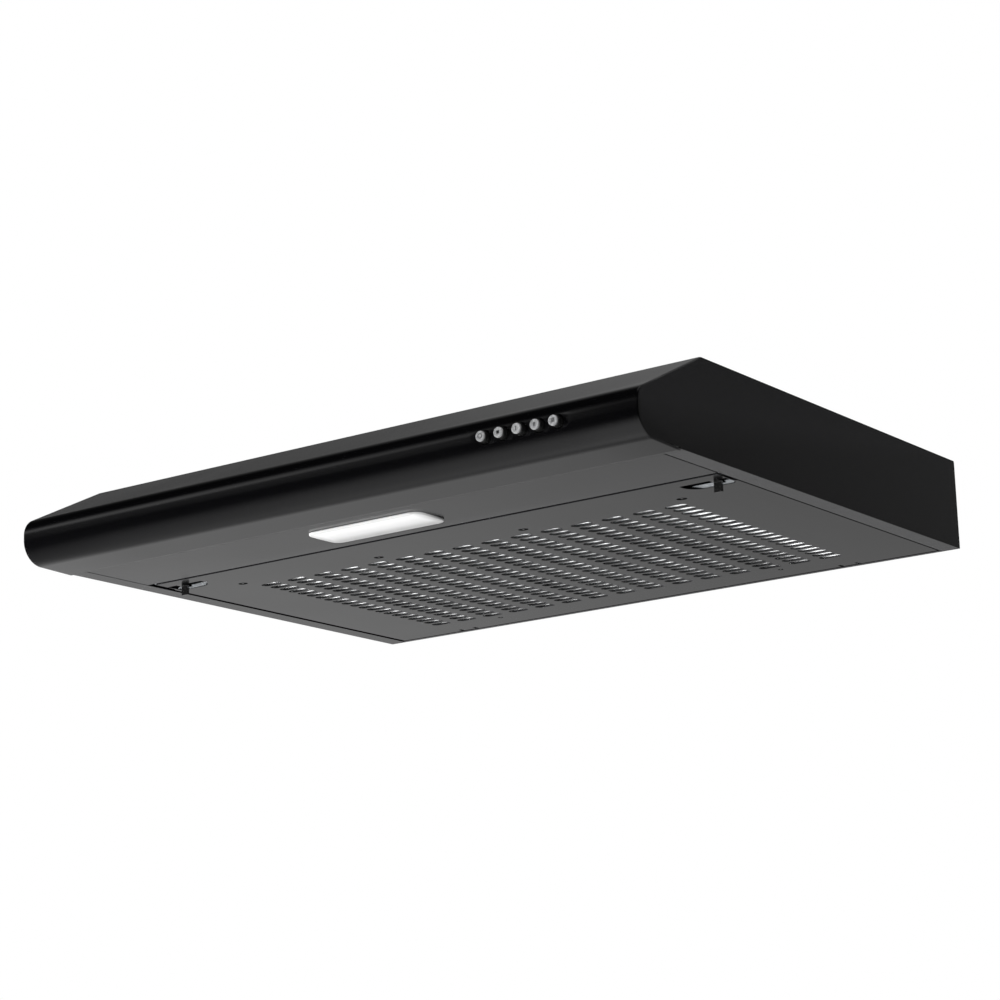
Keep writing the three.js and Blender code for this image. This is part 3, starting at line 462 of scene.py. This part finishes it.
def stadium(cx, cy, length, width, steps=8):
    radius = width / 2
    reach = length / 2 - radius
    return (arc(cx + reach, cy, radius, -math.pi / 2, math.pi / 2, steps)
            + arc(cx - reach, cy, radius, math.pi / 2, 3 * math.pi / 2, steps))


def rounded_loop(cx, cy, half_x, half_y, radius, steps=10):
    loop = []
    for quarter, (sx, sy) in enumerate(((1, 1), (-1, 1), (-1, -1), (1, -1))):
        start = quarter * math.pi / 2
        loop += arc(cx + sx * (half_x - radius), cy + sy * (half_y - radius), radius,
                    start, start + math.pi / 2, steps)
    return loop


# ------------------------------------------------------------------ front fascia

def slope_angle():
    y = SLOPE_DEPTH - NOSE_UPPER
    z = Z_TOP - Z_BOTTOM - NOSE_LOWER - NOSE_FLAT
    return math.atan2(z, y) - math.asin(NOSE_UPPER / math.hypot(y, z))


def front_profile():
    """Points (y, z) with outward normals, from the top corner, round the nose, to the seam underneath."""
    angle = slope_angle()
    points = []
    corner = (Y_NOSE + SLOPE_DEPTH, Z_TOP)
    upper = (Y_NOSE + NOSE_UPPER, Z_BOTTOM + NOSE_LOWER + NOSE_FLAT)
    lower = (Y_NOSE + NOSE_LOWER, Z_BOTTOM + NOSE_LOWER)
    points.append(corner)
    for centre, radius, start, end, steps in (
            (upper, NOSE_UPPER, math.pi / 2 + angle, math.pi, 24),
            (lower, NOSE_LOWER, math.pi, 1.5 * math.pi, 32)):
        for i in range(steps + 1):
            a = start + (end - start) * i / steps
            points.append((centre[0] + radius * math.cos(a), centre[1] + radius * math.sin(a)))
    start_y = lower[0]
    for i in range(1, 13):
        t = i / 12
        points.append((start_y + (Y_SEAM - start_y) * t, Z_BOTTOM - UNDER_DROP * t))
    return with_normals(points)


def with_normals(points):
    """Adds each point's outward normal, square to the line between its neighbours."""
    result = []
    for i, (y, z) in enumerate(points):
        a = points[max(i - 1, 0)]
        b = points[min(i + 1, len(points) - 1)]
        dy, dz = b[0] - a[0], b[1] - a[1]
        length = math.hypot(dy, dz)
        result.append((y, z, dz / length, -dy / length))
    return result


def make_fascia():
    profile = front_profile()
    runs = [0.0]
    for a, b in zip(profile, profile[1:]):
        runs.append(runs[-1] + math.hypot(b[0] - a[0], b[1] - a[1]))
    buttons = [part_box(f"button_cap_{i + 1}") for i in range(5)]
    centres = [((lo.x + hi.x) / 2, (lo.z + hi.z) / 2) for lo, hi in buttons]

    def locate(s):
        for i in range(len(runs) - 1):
            if s <= runs[i + 1] or i == len(runs) - 2:
                t = (s - runs[i]) / (runs[i + 1] - runs[i])
                return [p + (q - p) * t for p, q in zip(profile[i], profile[i + 1])]

    def run_at_height(z):
        i = next(k for k in range(1, len(profile)) if profile[k][1] <= z and profile[k][0] < Y_NOSE + 0.002)
        t = (z - profile[i - 1][1]) / (profile[i][1] - profile[i - 1][1])
        return runs[i - 1] + (runs[i] - runs[i - 1]) * t

    verts, edges = [], []

    def loop(points, closed=True):
        base = len(verts)
        verts.extend(points)
        count = len(points)
        edges.extend((base + i, base + (i + 1) % count) for i in range(count if closed else count - 1))

    ends = [X_SIDE - END_ROUND + END_ROUND * math.sin(i * math.pi / 12) for i in range(7)]
    columns = sorted([-x for x in ends] + ends + list(FASCIA_COLUMNS))
    for s in runs:
        loop([(x, s) for x in (columns[0], columns[-1])], False)
    for x in columns:
        loop([(x, s) for s in (runs[0], runs[-1])], False)
    rings = []
    steps = 32
    for cx, cz in centres:
        cs = run_at_height(cz)
        rings.append((cx, cs))
        for radius in (BUTTON_HOLE, BUTTON_HOLE + HOLE_ROLL * 0.4, BUTTON_HOLE + HOLE_ROLL):
            loop([(cx + radius * math.cos(TAU * i / steps), cs + radius * math.sin(TAU * i / steps))
                  for i in range(steps)])
    out_verts, _, out_faces, _, _, _ = delaunay_2d_cdt([Vector(v) for v in verts], edges, [], 0, 1e-7)

    def place(point):
        x, s = point
        y, z, ny, nz = locate(min(max(s, 0.0), runs[-1]))
        scale = math.hypot(ny, nz)
        ny, nz = ny / scale, nz / scale
        dip = 0.0
        over = abs(x) - (X_SIDE - END_ROUND)
        if over > 0:
            dip = END_ROUND - math.sqrt(max(END_ROUND ** 2 - over ** 2, 0.0))
        for cx, cs in rings:
            away = math.hypot(x - cx, s - cs)
            if away < BUTTON_HOLE + HOLE_ROLL + 1e-6:
                t = 1 - max(away - BUTTON_HOLE, 0) / HOLE_ROLL
                dip = HOLE_ROLL * (1 - math.sqrt(max(1 - t * t, 0)))
        return Vector((x, y - ny * dip, z - nz * dip))

    bm = bmesh.new()
    placed = [bm.verts.new(place(v)) for v in out_verts]
    for face in out_faces:
        centre = [sum(out_verts[i][k] for i in face) / len(face) for k in (0, 1)]
        if any(math.hypot(centre[0] - cx, centre[1] - cs) < BUTTON_HOLE for cx, cs in rings):
            continue
        bm.faces.new([placed[i] for i in face])
    loose = [v for v in bm.verts if not v.link_faces]
    bmesh.ops.delete(bm, geom=loose, context="VERTS")
    bmesh.ops.recalc_face_normals(bm, faces=bm.faces)
    fix_outward(bm)
    rolled = [e for e in bm.edges if len(e.link_faces) == 1 and hole_edge(e, centres)]
    made = bmesh.ops.extrude_edge_only(bm, edges=rolled)["geom"]
    for v in (g for g in made if isinstance(g, bmesh.types.BMVert)):
        v.co.y += HOLE_DEPTH
    mesh = bpy.data.meshes.new("front_fascia_skin")
    bm.to_mesh(mesh)
    bm.free()
    smooth(mesh, 50)
    piece = link("front_fascia_skin", mesh, "black_paint", "hood", "front_fascia")
    solid = piece.modifiers.new("thickness", "SOLIDIFY")
    solid.thickness = SHEET
    solid.offset = -1


def hole_edge(edge, centres):
    middle = (edge.verts[0].co + edge.verts[1].co) / 2
    return any(math.hypot(middle.x - cx, middle.z - cz) < BUTTON_HOLE + 0.5 * MM for cx, cz in centres)


def fix_outward(bm):
    """Turns every face so that the slope at the front of the nose looks along -Y."""
    front = min(bm.faces, key=lambda f: f.calc_center_median().y)
    if front.normal.y > 0:
        bmesh.ops.reverse_faces(bm, faces=bm.faces)


# ------------------------------------------------------------------ grille

def slot_loops():
    loops = []
    for row in range(SLOT_ROWS):
        y = SLOT_CENTRE_Y + (row - (SLOT_ROWS - 1) / 2) * SLOT_PITCH_Y
        for column in range(SLOT_COLUMNS):
            x = (column - (SLOT_COLUMNS - 1) / 2) * SLOT_PITCH_X
            loops.append(stadium(x, y, SLOT_LENGTH, SLOT_WIDTH))
    return loops


RECESS_LENGTH = 42 * MM
RECESS_INSET = 2.2 * MM
RECESS_FRONT = 16 * MM
RECESS_DEPTH = 17 * MM
SCOOP_RISE = 1.8 * MM
SCOOP_LENGTH = 4.4 * MM
FOOT_Y = GRILLE_LO.y + 49 * MM
APEX_Y = -33 * MM
FEET = (-220.7, -72.9, 72.9, 220.7)
APEXES = (-147.8, 147.8)
FOOT_LONG = 8.6 * MM
FOOT_WIDE = 6.2 * MM
LIP_HEIGHT = 8 * MM
SETBACK_RIGHT = 0.7 * MM
SETBACK_LEFT = 3.6 * MM
FRONT_SETBACK = 2.7 * MM
NICK_DEEP = 2.2 * MM
NICK_LONG = 29 * MM
GRILLE_REAR = -7 * MM
HINGE_X = (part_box("hinge_pin_right")[0].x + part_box("hinge_pin_right")[1].x) / 2
KNUCKLE_HALF = 6.5 * MM
KNUCKLE_BORE = 1.4 * MM
NOTCH_HALF = 9.7 * MM
NOTCH_DEEP = 6 * MM
COLLAR_RISE = 0.62 * MM
COLLAR_LOW = 0.32 * MM
COLLAR_END = 160 * MM
COLLAR_WALL = 0.4 * MM


def recess_box(side):
    setback = SETBACK_RIGHT if side > 0 else SETBACK_LEFT
    x1 = side * (GRILLE_HI.x - setback - NICK_DEEP - 1 * MM)
    x0 = side * (GRILLE_HI.x - RECESS_INSET - RECESS_LENGTH)
    y0 = GRILLE_LO.y + RECESS_FRONT
    return min(x0, x1), max(x0, x1), y0, y0 + RECESS_DEPTH


def recess_loop(side, inset=0.0):
    x0, x1, y0, y1 = recess_box(side)
    x0, x1, y0, y1 = x0 + inset, x1 - inset, y0 + inset, y1 - inset
    small, large = 4 * MM, 13 * MM
    if side > 0:
        loop = [(x1, y0)] + arc(x1 - small, y1 - small, small, 0, math.pi / 2, 6)
        loop += arc(x0 + large, y1 - large, large, math.pi / 2, math.pi, 12) + [(x0, y0)]
    else:
        loop = [(x1, y0)] + arc(x1 - large, y1 - large, large, 0, math.pi / 2, 12)
        loop += arc(x0 + small, y1 - small, small, math.pi / 2, math.pi, 6) + [(x0, y0)]
    return loop


def scoop(side):
    """The pressed pocket behind a latch: deep along its front edge and running out at the rear."""
    x0, x1, y0, y1 = recess_box(side)
    rim = recess_loop(side, -0.1 * MM)
    steps_x, steps_y = 56, 20
    bm = bmesh.new()

    def rise(x, y):
        across = min(x - x0, x1 - x) / (4 * MM)
        along = min((y1 - y) / SCOOP_LENGTH, 1.0)
        ease = min(max(across, 0.0), 1.0)
        return SCOOP_RISE * along ** 0.8 * (ease * (2 - ease)) ** 0.5

    rows = []
    for j in range(steps_y + 1):
        y = y0 + (y1 - y0) * j / steps_y
        rows.append([bm.verts.new((x0 + (x1 - x0) * i / steps_x, y,
                                   Z_BOTTOM + 0.3 * MM + rise(x0 + (x1 - x0) * i / steps_x, y)))
                     for i in range(steps_x + 1)])
    for j in range(steps_y):
        for i in range(steps_x):
            corners = (rows[j][i], rows[j][i + 1], rows[j + 1][i + 1], rows[j + 1][i])
            cx = sum(v.co.x for v in corners) / 4
            cy = sum(v.co.y for v in corners) / 4
            inside_tab = TAB_X - 4.6 * MM < abs(cx) < TAB_X + 4.6 * MM and cy < TAB_Y1 + 3.6 * MM
            if within(cx, cy, rim) and cy > y1 - SCOOP_LENGTH and not inside_tab:
                bm.faces.new(corners)
    loose = [v for v in bm.verts if not v.link_faces]
    bmesh.ops.delete(bm, geom=loose, context="VERTS")
    bmesh.ops.recalc_face_normals(bm, faces=bm.faces)
    if sum(f.normal.z for f in bm.faces) > 0:
        bmesh.ops.reverse_faces(bm, faces=bm.faces)
    name = "latch_scoop_right" if side > 0 else "latch_scoop_left"
    mesh = bpy.data.meshes.new(name)
    bm.to_mesh(mesh)
    bm.free()
    smooth(mesh, 60)
    piece = link(name, mesh, "zinc_steel", "grille")
    solid = piece.modifiers.new("thickness", "SOLIDIFY")
    solid.thickness = 0.4 * MM
    solid.offset = -1


def within(x, y, loop):
    inside = False
    for (ax, ay), (bx, by) in zip(loop, loop[1:] + loop[:1]):
        if (ay > y) != (by > y) and x < (bx - ax) * (y - ay) / (by - ay) + ax:
            inside = not inside
    return inside


TAB_LO, TAB_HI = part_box("latch_right")
TAB_X = (TAB_LO.x + TAB_HI.x) / 2
TAB_Y1 = TAB_HI.y


def box_mesh(name, lo, hi, edge, segments=2):
    bm = bmesh.new()
    bmesh.ops.create_cube(bm, size=1)
    size = [b - a for a, b in zip(lo, hi)]
    middle = [(a + b) / 2 for a, b in zip(lo, hi)]
    for v in bm.verts:
        v.co = Vector([m + c * k for m, c, k in zip(middle, v.co, size)])
    bmesh.ops.bevel(bm, geom=bm.edges[:], offset=edge, segments=segments, affect="EDGES", profile=0.5)
    mesh = bpy.data.meshes.new(name)
    bm.to_mesh(mesh)
    bm.free()
    return mesh


def join_meshes(name, meshes):
    bm = bmesh.new()
    for part in meshes:
        bm.from_mesh(part)
    mesh = bpy.data.meshes.new(name)
    bm.to_mesh(mesh)
    bm.free()
    return mesh


def grille_outline():
    """The sheet's edge, drawn in beside each latch where the corner is nicked."""
    nick, front, rear = NICK_DEEP, GRILLE_LO.y + FRONT_SETBACK, GRILLE_REAR
    y_nick = GRILLE_LO.y + NICK_LONG
    loop = []
    for side, setback in ((1, SETBACK_RIGHT), (-1, SETBACK_LEFT)):
        half = GRILLE_HI.x - setback
        edge = [(half - nick, front), (half - nick, y_nick - 2 * nick), (half, y_nick)]
        edge += arc(half - 1 * MM, rear - 1 * MM, 1 * MM, 0, math.pi / 2, 4)
        loop += edge if side > 0 else [(-x, y) for x, y in reversed(edge)]
        if side > 0:
            loop += hinge_notch(HINGE_X) + hinge_notch(-HINGE_X)
    return loop


def slot_collars():
    """The turned-up edge of each slot, lower in the two columns beyond COLLAR_END."""
    bm = bmesh.new()
    for loop in slot_loops():
        x = sum(p[0] for p in loop) / len(loop)
        rise = COLLAR_RISE if x < COLLAR_END else COLLAR_LOW
        cx, cy = x, sum(p[1] for p in loop) / len(loop)
        rings = []
        for spread, z in ((0.0, 0.1 * MM), (0.0, SHEET + rise), (COLLAR_WALL, SHEET + rise),
                          (COLLAR_WALL, SHEET - 0.1 * MM)):
            ring = []
            for px, py in loop:
                away = Vector((px - cx, py - cy)).normalized() * spread
                ring.append(bm.verts.new((px + away.x, py + away.y, Z_BOTTOM + z)))
            rings.append(ring)
        count = len(loop)
        for a, b in zip(rings, rings[1:] + rings[:1]):
            for i in range(count):
                bm.faces.new((a[i], b[i], b[(i + 1) % count], a[(i + 1) % count]))
    bmesh.ops.recalc_face_normals(bm, faces=bm.faces)
    mesh = bpy.data.meshes.new("slot_collars")
    bm.to_mesh(mesh)
    bm.free()
    return mesh


def hinge_notch(x):
    """Two slits in the rear edge that clear a bracket's cheeks, with the knuckle's tongue between."""
    near, deep, tongue = GRILLE_REAR, GRILLE_REAR - NOTCH_DEEP, GRILLE_REAR - 1 * MM
    return [(x + NOTCH_HALF, near), (x + NOTCH_HALF, deep), (x + KNUCKLE_HALF, deep),
            (x + KNUCKLE_HALF, tongue), (x - KNUCKLE_HALF, tongue), (x - KNUCKLE_HALF, deep),
            (x - NOTCH_HALF, deep), (x - NOTCH_HALF, near)]


def make_grille():
    outline = grille_outline()
    holes = slot_loops()
    holes += [stadium(x * MM, FOOT_Y, FOOT_LONG, FOOT_WIDE) for x in FEET]
    holes += [stadium(x * MM, APEX_Y, 4.6 * MM, 4.4 * MM) for x in APEXES]
    holes += [recess_loop(side) for side in (-1, 1)]
    plate = curve_sheet("grille_plate", outline, holes, Z_BOTTOM, Z_BOTTOM + SHEET, 0.2 * MM)
    top = Z_BOTTOM + LIP_HEIGHT
    skin = 0.9 * SHEET
    lift = 0.35 * MM
    front = GRILLE_LO.y + FRONT_SETBACK + 0.1 * MM
    right = GRILLE_HI.x - SETBACK_RIGHT - 0.1 * MM
    left = GRILLE_HI.x - SETBACK_LEFT - 0.1 * MM
    lips = [box_mesh("lip", (NICK_DEEP - left, front, Z_BOTTOM + lift),
                     (right - NICK_DEEP, front + skin, top), 0.15 * MM)]
    for side, half in ((-1, left), (1, right)):
        outer, inner = side * half, side * (half - skin)
        lips.append(box_mesh("lip", (min(outer, inner), GRILLE_LO.y + NICK_LONG, Z_BOTTOM + lift),
                             (max(outer, inner), GRILLE_REAR - 20 * MM, top), 0.15 * MM))
    mesh = join_meshes("grille_sheet", [plate, slot_collars(), *lips, *knuckles()])
    smooth(mesh)
    piece = link("grille_sheet", mesh, "black_paint", "grille", "grille_panel")
    flatten_normals(piece)
    for side in (-1, 1):
        scoop(side)
        # Behind each recess a black plate gives the dark line along its edge: a dark sheet standing in for
        # the shadow there, painted shade.
        x0, x1, _, y1 = recess_box(side)
        name = "shade_plate_right" if side > 0 else "shade_plate_left"
        wall = box_mesh(name, (x0 - 1 * MM, y1 + 0.2 * MM, Z_BOTTOM + 0.9 * MM),
                        (x1, y1 + 0.9 * MM, Z_BOTTOM + LIP_HEIGHT), 0.1 * MM)
        link(name, wall, "black_paint", "grille")
    for i, x in enumerate(FEET):
        plug = box_mesh("plug", (x * MM - FOOT_LONG / 2, FOOT_Y - FOOT_WIDE / 2, Z_BOTTOM + 0.85 * MM),
                        (x * MM + FOOT_LONG / 2, FOOT_Y + FOOT_WIDE / 2, Z_BOTTOM + 1.1 * MM), 0.1 * MM)
        link(f"wire_clip_{i + 1}", plug, "black_plastic", "grille")


def make_lamp_panel():
    """The painted panel round the lamp, turned up along its front and rear."""
    half_x = LAMP_HI.x - 1.0 * MM
    rear = LAMP_HI.y - 0.9 * MM
    front = LAMP_LO.y - 0.25 * MM
    middle = (front + rear) / 2
    outline = rounded_loop(0, middle, half_x, (rear - front) / 2, 0.5 * MM, 3)
    cx, cy = (LENS_LO.x + LENS_HI.x) / 2, (LENS_LO.y + LENS_HI.y) / 2
    rim = 2.4 * MM
    half_wide, half_deep = (LENS_HI.x - LENS_LO.x) / 2 - rim, (LENS_HI.y - LENS_LO.y) / 2 - rim
    hole = rounded_loop(cx, cy, half_wide, half_deep, LENS_CORNER - rim)
    plate = curve_sheet("lamp_plate", outline, [hole], Z_BOTTOM, Z_BOTTOM + SHEET, 0.12 * MM)
    top = LAMP_HI.z
    skin = 0.9 * SHEET
    lift = 0.3 * MM
    lips = [box_mesh("lip", (-half_x, y, Z_BOTTOM + lift), (half_x, y + skin, top), 0.12 * MM)
            for y in (LAMP_LO.y + 0.1 * MM, rear - skin)]
    mesh = join_meshes("lamp_sheet", [plate, *lips])
    smooth(mesh)
    flatten_normals(link("lamp_sheet", mesh, "black_paint", "hood", "lamp_panel"))


def knuckles():
    parts = []
    for hand in ("left", "right"):
        lo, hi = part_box(f"hinge_pin_{hand}")
        x = (lo.x + hi.x) / 2
        y, z = (lo.y + hi.y) / 2, (lo.z + hi.z) / 2
        half = KNUCKLE_HALF
        radius = z - Z_BOTTOM
        edge = 0.15 * MM
        profile = [(KNUCKLE_BORE, -half), (radius - edge, -half), (radius, -half + edge),
                   (radius, half - edge), (radius - edge, half), (KNUCKLE_BORE, half), (KNUCKLE_BORE, -half)]
        place = Matrix.Translation((x, y, z)) @ Matrix.Rotation(math.pi / 2, 4, "Y")
        parts.append(lathe("knuckle", profile, place, 32))
    return parts


def lathe(name, profile, place, steps=48):
    """A profile of (radius, height) turned round its own Z axis, then put in place."""
    bm = bmesh.new()
    rings = []
    for k in range(steps):
        a = TAU * k / steps
        rings.append([bm.verts.new((radius * math.cos(a), radius * math.sin(a), height))
                      for radius, height in profile])
    for k in range(steps):
        for i in range(len(profile) - 1):
            bm.faces.new((rings[k][i], rings[(k + 1) % steps][i],
                          rings[(k + 1) % steps][i + 1], rings[k][i + 1]))
    bmesh.ops.remove_doubles(bm, verts=bm.verts, dist=1e-7)
    bmesh.ops.recalc_face_normals(bm, faces=bm.faces)
    bmesh.ops.transform(bm, matrix=place, verts=bm.verts)
    mesh = bpy.data.meshes.new(name)
    bm.to_mesh(mesh)
    bm.free()
    return mesh


# ------------------------------------------------------------------ filter pad

# The pad's underside stands this far above where it lies beyond PAD_LIFT_END
PAD_LIFT = 0.5 * MM
PAD_LIFT_END = 195 * MM


def make_pad():
    lo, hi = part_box("grease_filter_pad")
    count_x, count_y = 150, 84
    bm = bmesh.new()

    def soft(x, y, seed):
        folds = noise.noise(Vector((x * 26, y * 34, seed)))
        tufts = noise.noise(Vector((x * 90, y * 120, seed)))
        return folds * 0.6 + tufts * 0.25

    layers = []
    for z, swing, seed in ((lo.z + 0.35 * MM, 0.3 * MM, 1.7), (hi.z - 0.35 * MM, 0.35 * MM, 5.1)):
        slack = PAD_LIFT if z < hi.z - 2 * MM else 0.0
        layer = []
        for j in range(count_y + 1):
            y = lo.y + 0.6 * MM + (hi.y - lo.y - 1.2 * MM) * j / count_y
            layer.append([])
            for i in range(count_x + 1):
                x = lo.x + 0.6 * MM + (hi.x - lo.x - 1.2 * MM) * i / count_x
                edge = min(x - lo.x, hi.x - x, y - lo.y, hi.y - y) / (6 * MM)
                pinch = (1 - min(edge, 1.0)) ** 2
                middle = (lo.z + hi.z) / 2
                lift = slack * min(max((PAD_LIFT_END - x) / (20 * MM), 0.0), 1.0)
                height = z + lift + swing * soft(x, y, seed)
                layer[-1].append(bm.verts.new((x, y, height + (middle - height) * pinch)))
        layers.append(layer)
    for index, layer in enumerate(layers):
        for j in range(count_y):
            for i in range(count_x):
                corners = [layer[j][i], layer[j][i + 1], layer[j + 1][i + 1], layer[j + 1][i]]
                bm.faces.new(corners if index else corners[::-1])
    border = [(0, i) for i in range(count_x)] + [(j, count_x) for j in range(count_y)]
    border += [(count_y, i) for i in range(count_x, 0, -1)] + [(j, 0) for j in range(count_y, 0, -1)]
    for (ja, ia), (jb, ib) in zip(border, border[1:] + border[:1]):
        bm.faces.new((layers[0][ja][ia], layers[0][jb][ib], layers[1][jb][ib], layers[1][ja][ia]))
    mesh = bpy.data.meshes.new("fleece_pad")
    bm.to_mesh(mesh)
    bm.free()
    mesh.shade_smooth()
    piece = link("fleece_pad", mesh, "filter_fleece", "grille", "grease_filter_pad")


# ------------------------------------------------------------------ lens

def make_lens():
    lo, hi = LENS_LO, LENS_HI
    cx, cy = (lo.x + hi.x) / 2, (lo.y + hi.y) / 2
    half_x, half_y = (hi.x - lo.x) / 2, (hi.y - lo.y) / 2
    corner = LENS_CORNER
    roll = 0.9 * MM
    top = Z_BOTTOM - 0.25 * MM
    rings = [(0.4 * MM, top), (0.0, top - 0.2 * MM)]
    rings += [(roll * (1 - math.cos(a)), lo.z + roll * (1 - math.sin(a)))
              for a in (math.pi / 2 * i / 6 for i in range(7))]
    rings += [(roll + 1.2 * MM, lo.z + 0.0), (roll + 3 * MM, lo.z - 0.05 * MM)]
    bm = bmesh.new()
    loops = []
    for inset, z in rings:
        points = rounded_loop(cx, cy, half_x - inset, half_y - inset, max(corner - inset, 1 * MM), 14)
        loops.append([bm.verts.new((x, y, z)) for x, y in points])
    count = len(loops[0])
    for a, b in zip(loops, loops[1:]):
        for i in range(count):
            bm.faces.new((a[i], a[(i + 1) % count], b[(i + 1) % count], b[i]))
    bm.faces.new(loops[-1])
    bm.faces.new(loops[0][::-1])
    bmesh.ops.recalc_face_normals(bm, faces=bm.faces)
    mesh = bpy.data.meshes.new("lens_shell")
    bm.to_mesh(mesh)
    bm.free()
    smooth(mesh, 40)
    piece = link("lens_shell", mesh, "opal_lens", "hood", "lamp_lens")
    flatten_normals(piece)


# ------------------------------------------------------------------ buttons

def front_facing(x, y, z):
    """A placement whose own +Z looks out along -Y."""
    return Matrix.Translation((x, y, z)) @ Matrix.Rotation(math.pi / 2, 4, "X")


def make_buttons():
    for i in range(1, 6):
        lo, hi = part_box(f"button_cap_{i}")
        x, z = (lo.x + hi.x) / 2, (lo.z + hi.z) / 2
        radius, thick = (hi.x - lo.x) / 2 - CAP_TRIM, hi.y - lo.y
        cap = [(0.0, 0.0), (radius - 0.2 * MM, 0.0), (radius, 0.2 * MM), (radius, thick - 0.45 * MM),
               (radius - 0.15 * MM, thick - 0.18 * MM), (radius - 0.5 * MM, thick),
               (radius - 0.9 * MM, thick - 0.14 * MM), (0.0, thick - 0.1 * MM)]
        mesh = lathe("cap", cap, front_facing(x, hi.y, z))
        smooth(mesh, 40)
        piece = link(f"cap_{i}", mesh, "silver_cap", f"button_{i}", f"button_cap_{i}")
        flatten_normals(piece)
        low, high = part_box(f"button_stem_{i}")
        reach = high.y - low.y
        wide = (high.x - low.x) / 2
        stem = [(0.0, 0.0), (wide - 0.3 * MM, 0.0), (wide, 0.3 * MM), (wide, reach - 0.6 * MM),
                (wide - 0.18 * MM, reach - 0.2 * MM), (wide - 0.6 * MM, reach), (0.0, reach)]
        mesh = lathe("stem", stem, front_facing(x, high.y, z))
        smooth(mesh, 40)
        piece = link(f"stem_{i}", mesh, "gloss_black_plastic", f"button_{i}", f"button_stem_{i}")
        flatten_normals(piece)
        make_icon(i, x, lo.y + 0.1 * MM, z)


def make_icon(index, x, y, z):
    """Plain raised marks: a ring for the lamp, a square for stop, one to three bars for the speeds."""
    deep = 0.12 * MM
    parts = []
    if index == 1:
        ring = [(1.5 * MM, 0.0), (1.5 * MM, deep), (1.9 * MM, deep), (1.9 * MM, 0.0)]
        parts.append(lathe("ring", ring, front_facing(x, y, z), 32))
    elif index == 2:
        parts.append(box_mesh("square", (x - 1.2 * MM, y - deep, z - 1.2 * MM),
                              (x + 1.2 * MM, y, z + 1.2 * MM), 0.05 * MM))
    else:
        count = index - 2
        for k in range(count):
            cx = x + (k - (count - 1) / 2) * 1.1 * MM
            parts.append(box_mesh("bar", (cx - 0.25 * MM, y - deep, z - 1.6 * MM),
                                  (cx + 0.25 * MM, y, z + 1.6 * MM), 0.05 * MM))
    mesh = join_meshes("icon", parts)
    link(f"icon_{index}", mesh, "black_plastic", f"button_{index}")


# ------------------------------------------------------------------ carried-over CAD pieces

SLOTS = {row["node"]: row["material_slot"] for row in frame["record"]["subparts"]}


EDGE_ROUND = 0.3 * MM


def dress(node):
    piece = frame["nodes"][node]
    piece.data.materials.clear()
    piece.data.materials.append(MATERIALS[SLOTS[node]])
    merge = piece.modifiers.new("weld", "WELD")
    merge.merge_threshold = 1e-6
    bevel = piece.modifiers.new("edges", "BEVEL")
    bevel.width = EDGE_ROUND
    bevel.segments = 2
    bevel.limit_method = "ANGLE"
    bevel.angle_limit = math.radians(35)
    piece.data.shade_smooth()
    flatten_normals(piece)


# ------------------------------------------------------------------ build

make_camera()
MATERIALS = make_materials()
for cad_node in sorted(SLOTS):
    dress(cad_node)
make_fascia()
make_lamp_panel()
make_grille()
make_pad()
make_lens()
make_buttons()
make_floor()
make_world()
make_lights()
bpy.context.scene.view_settings.view_transform = "Standard"
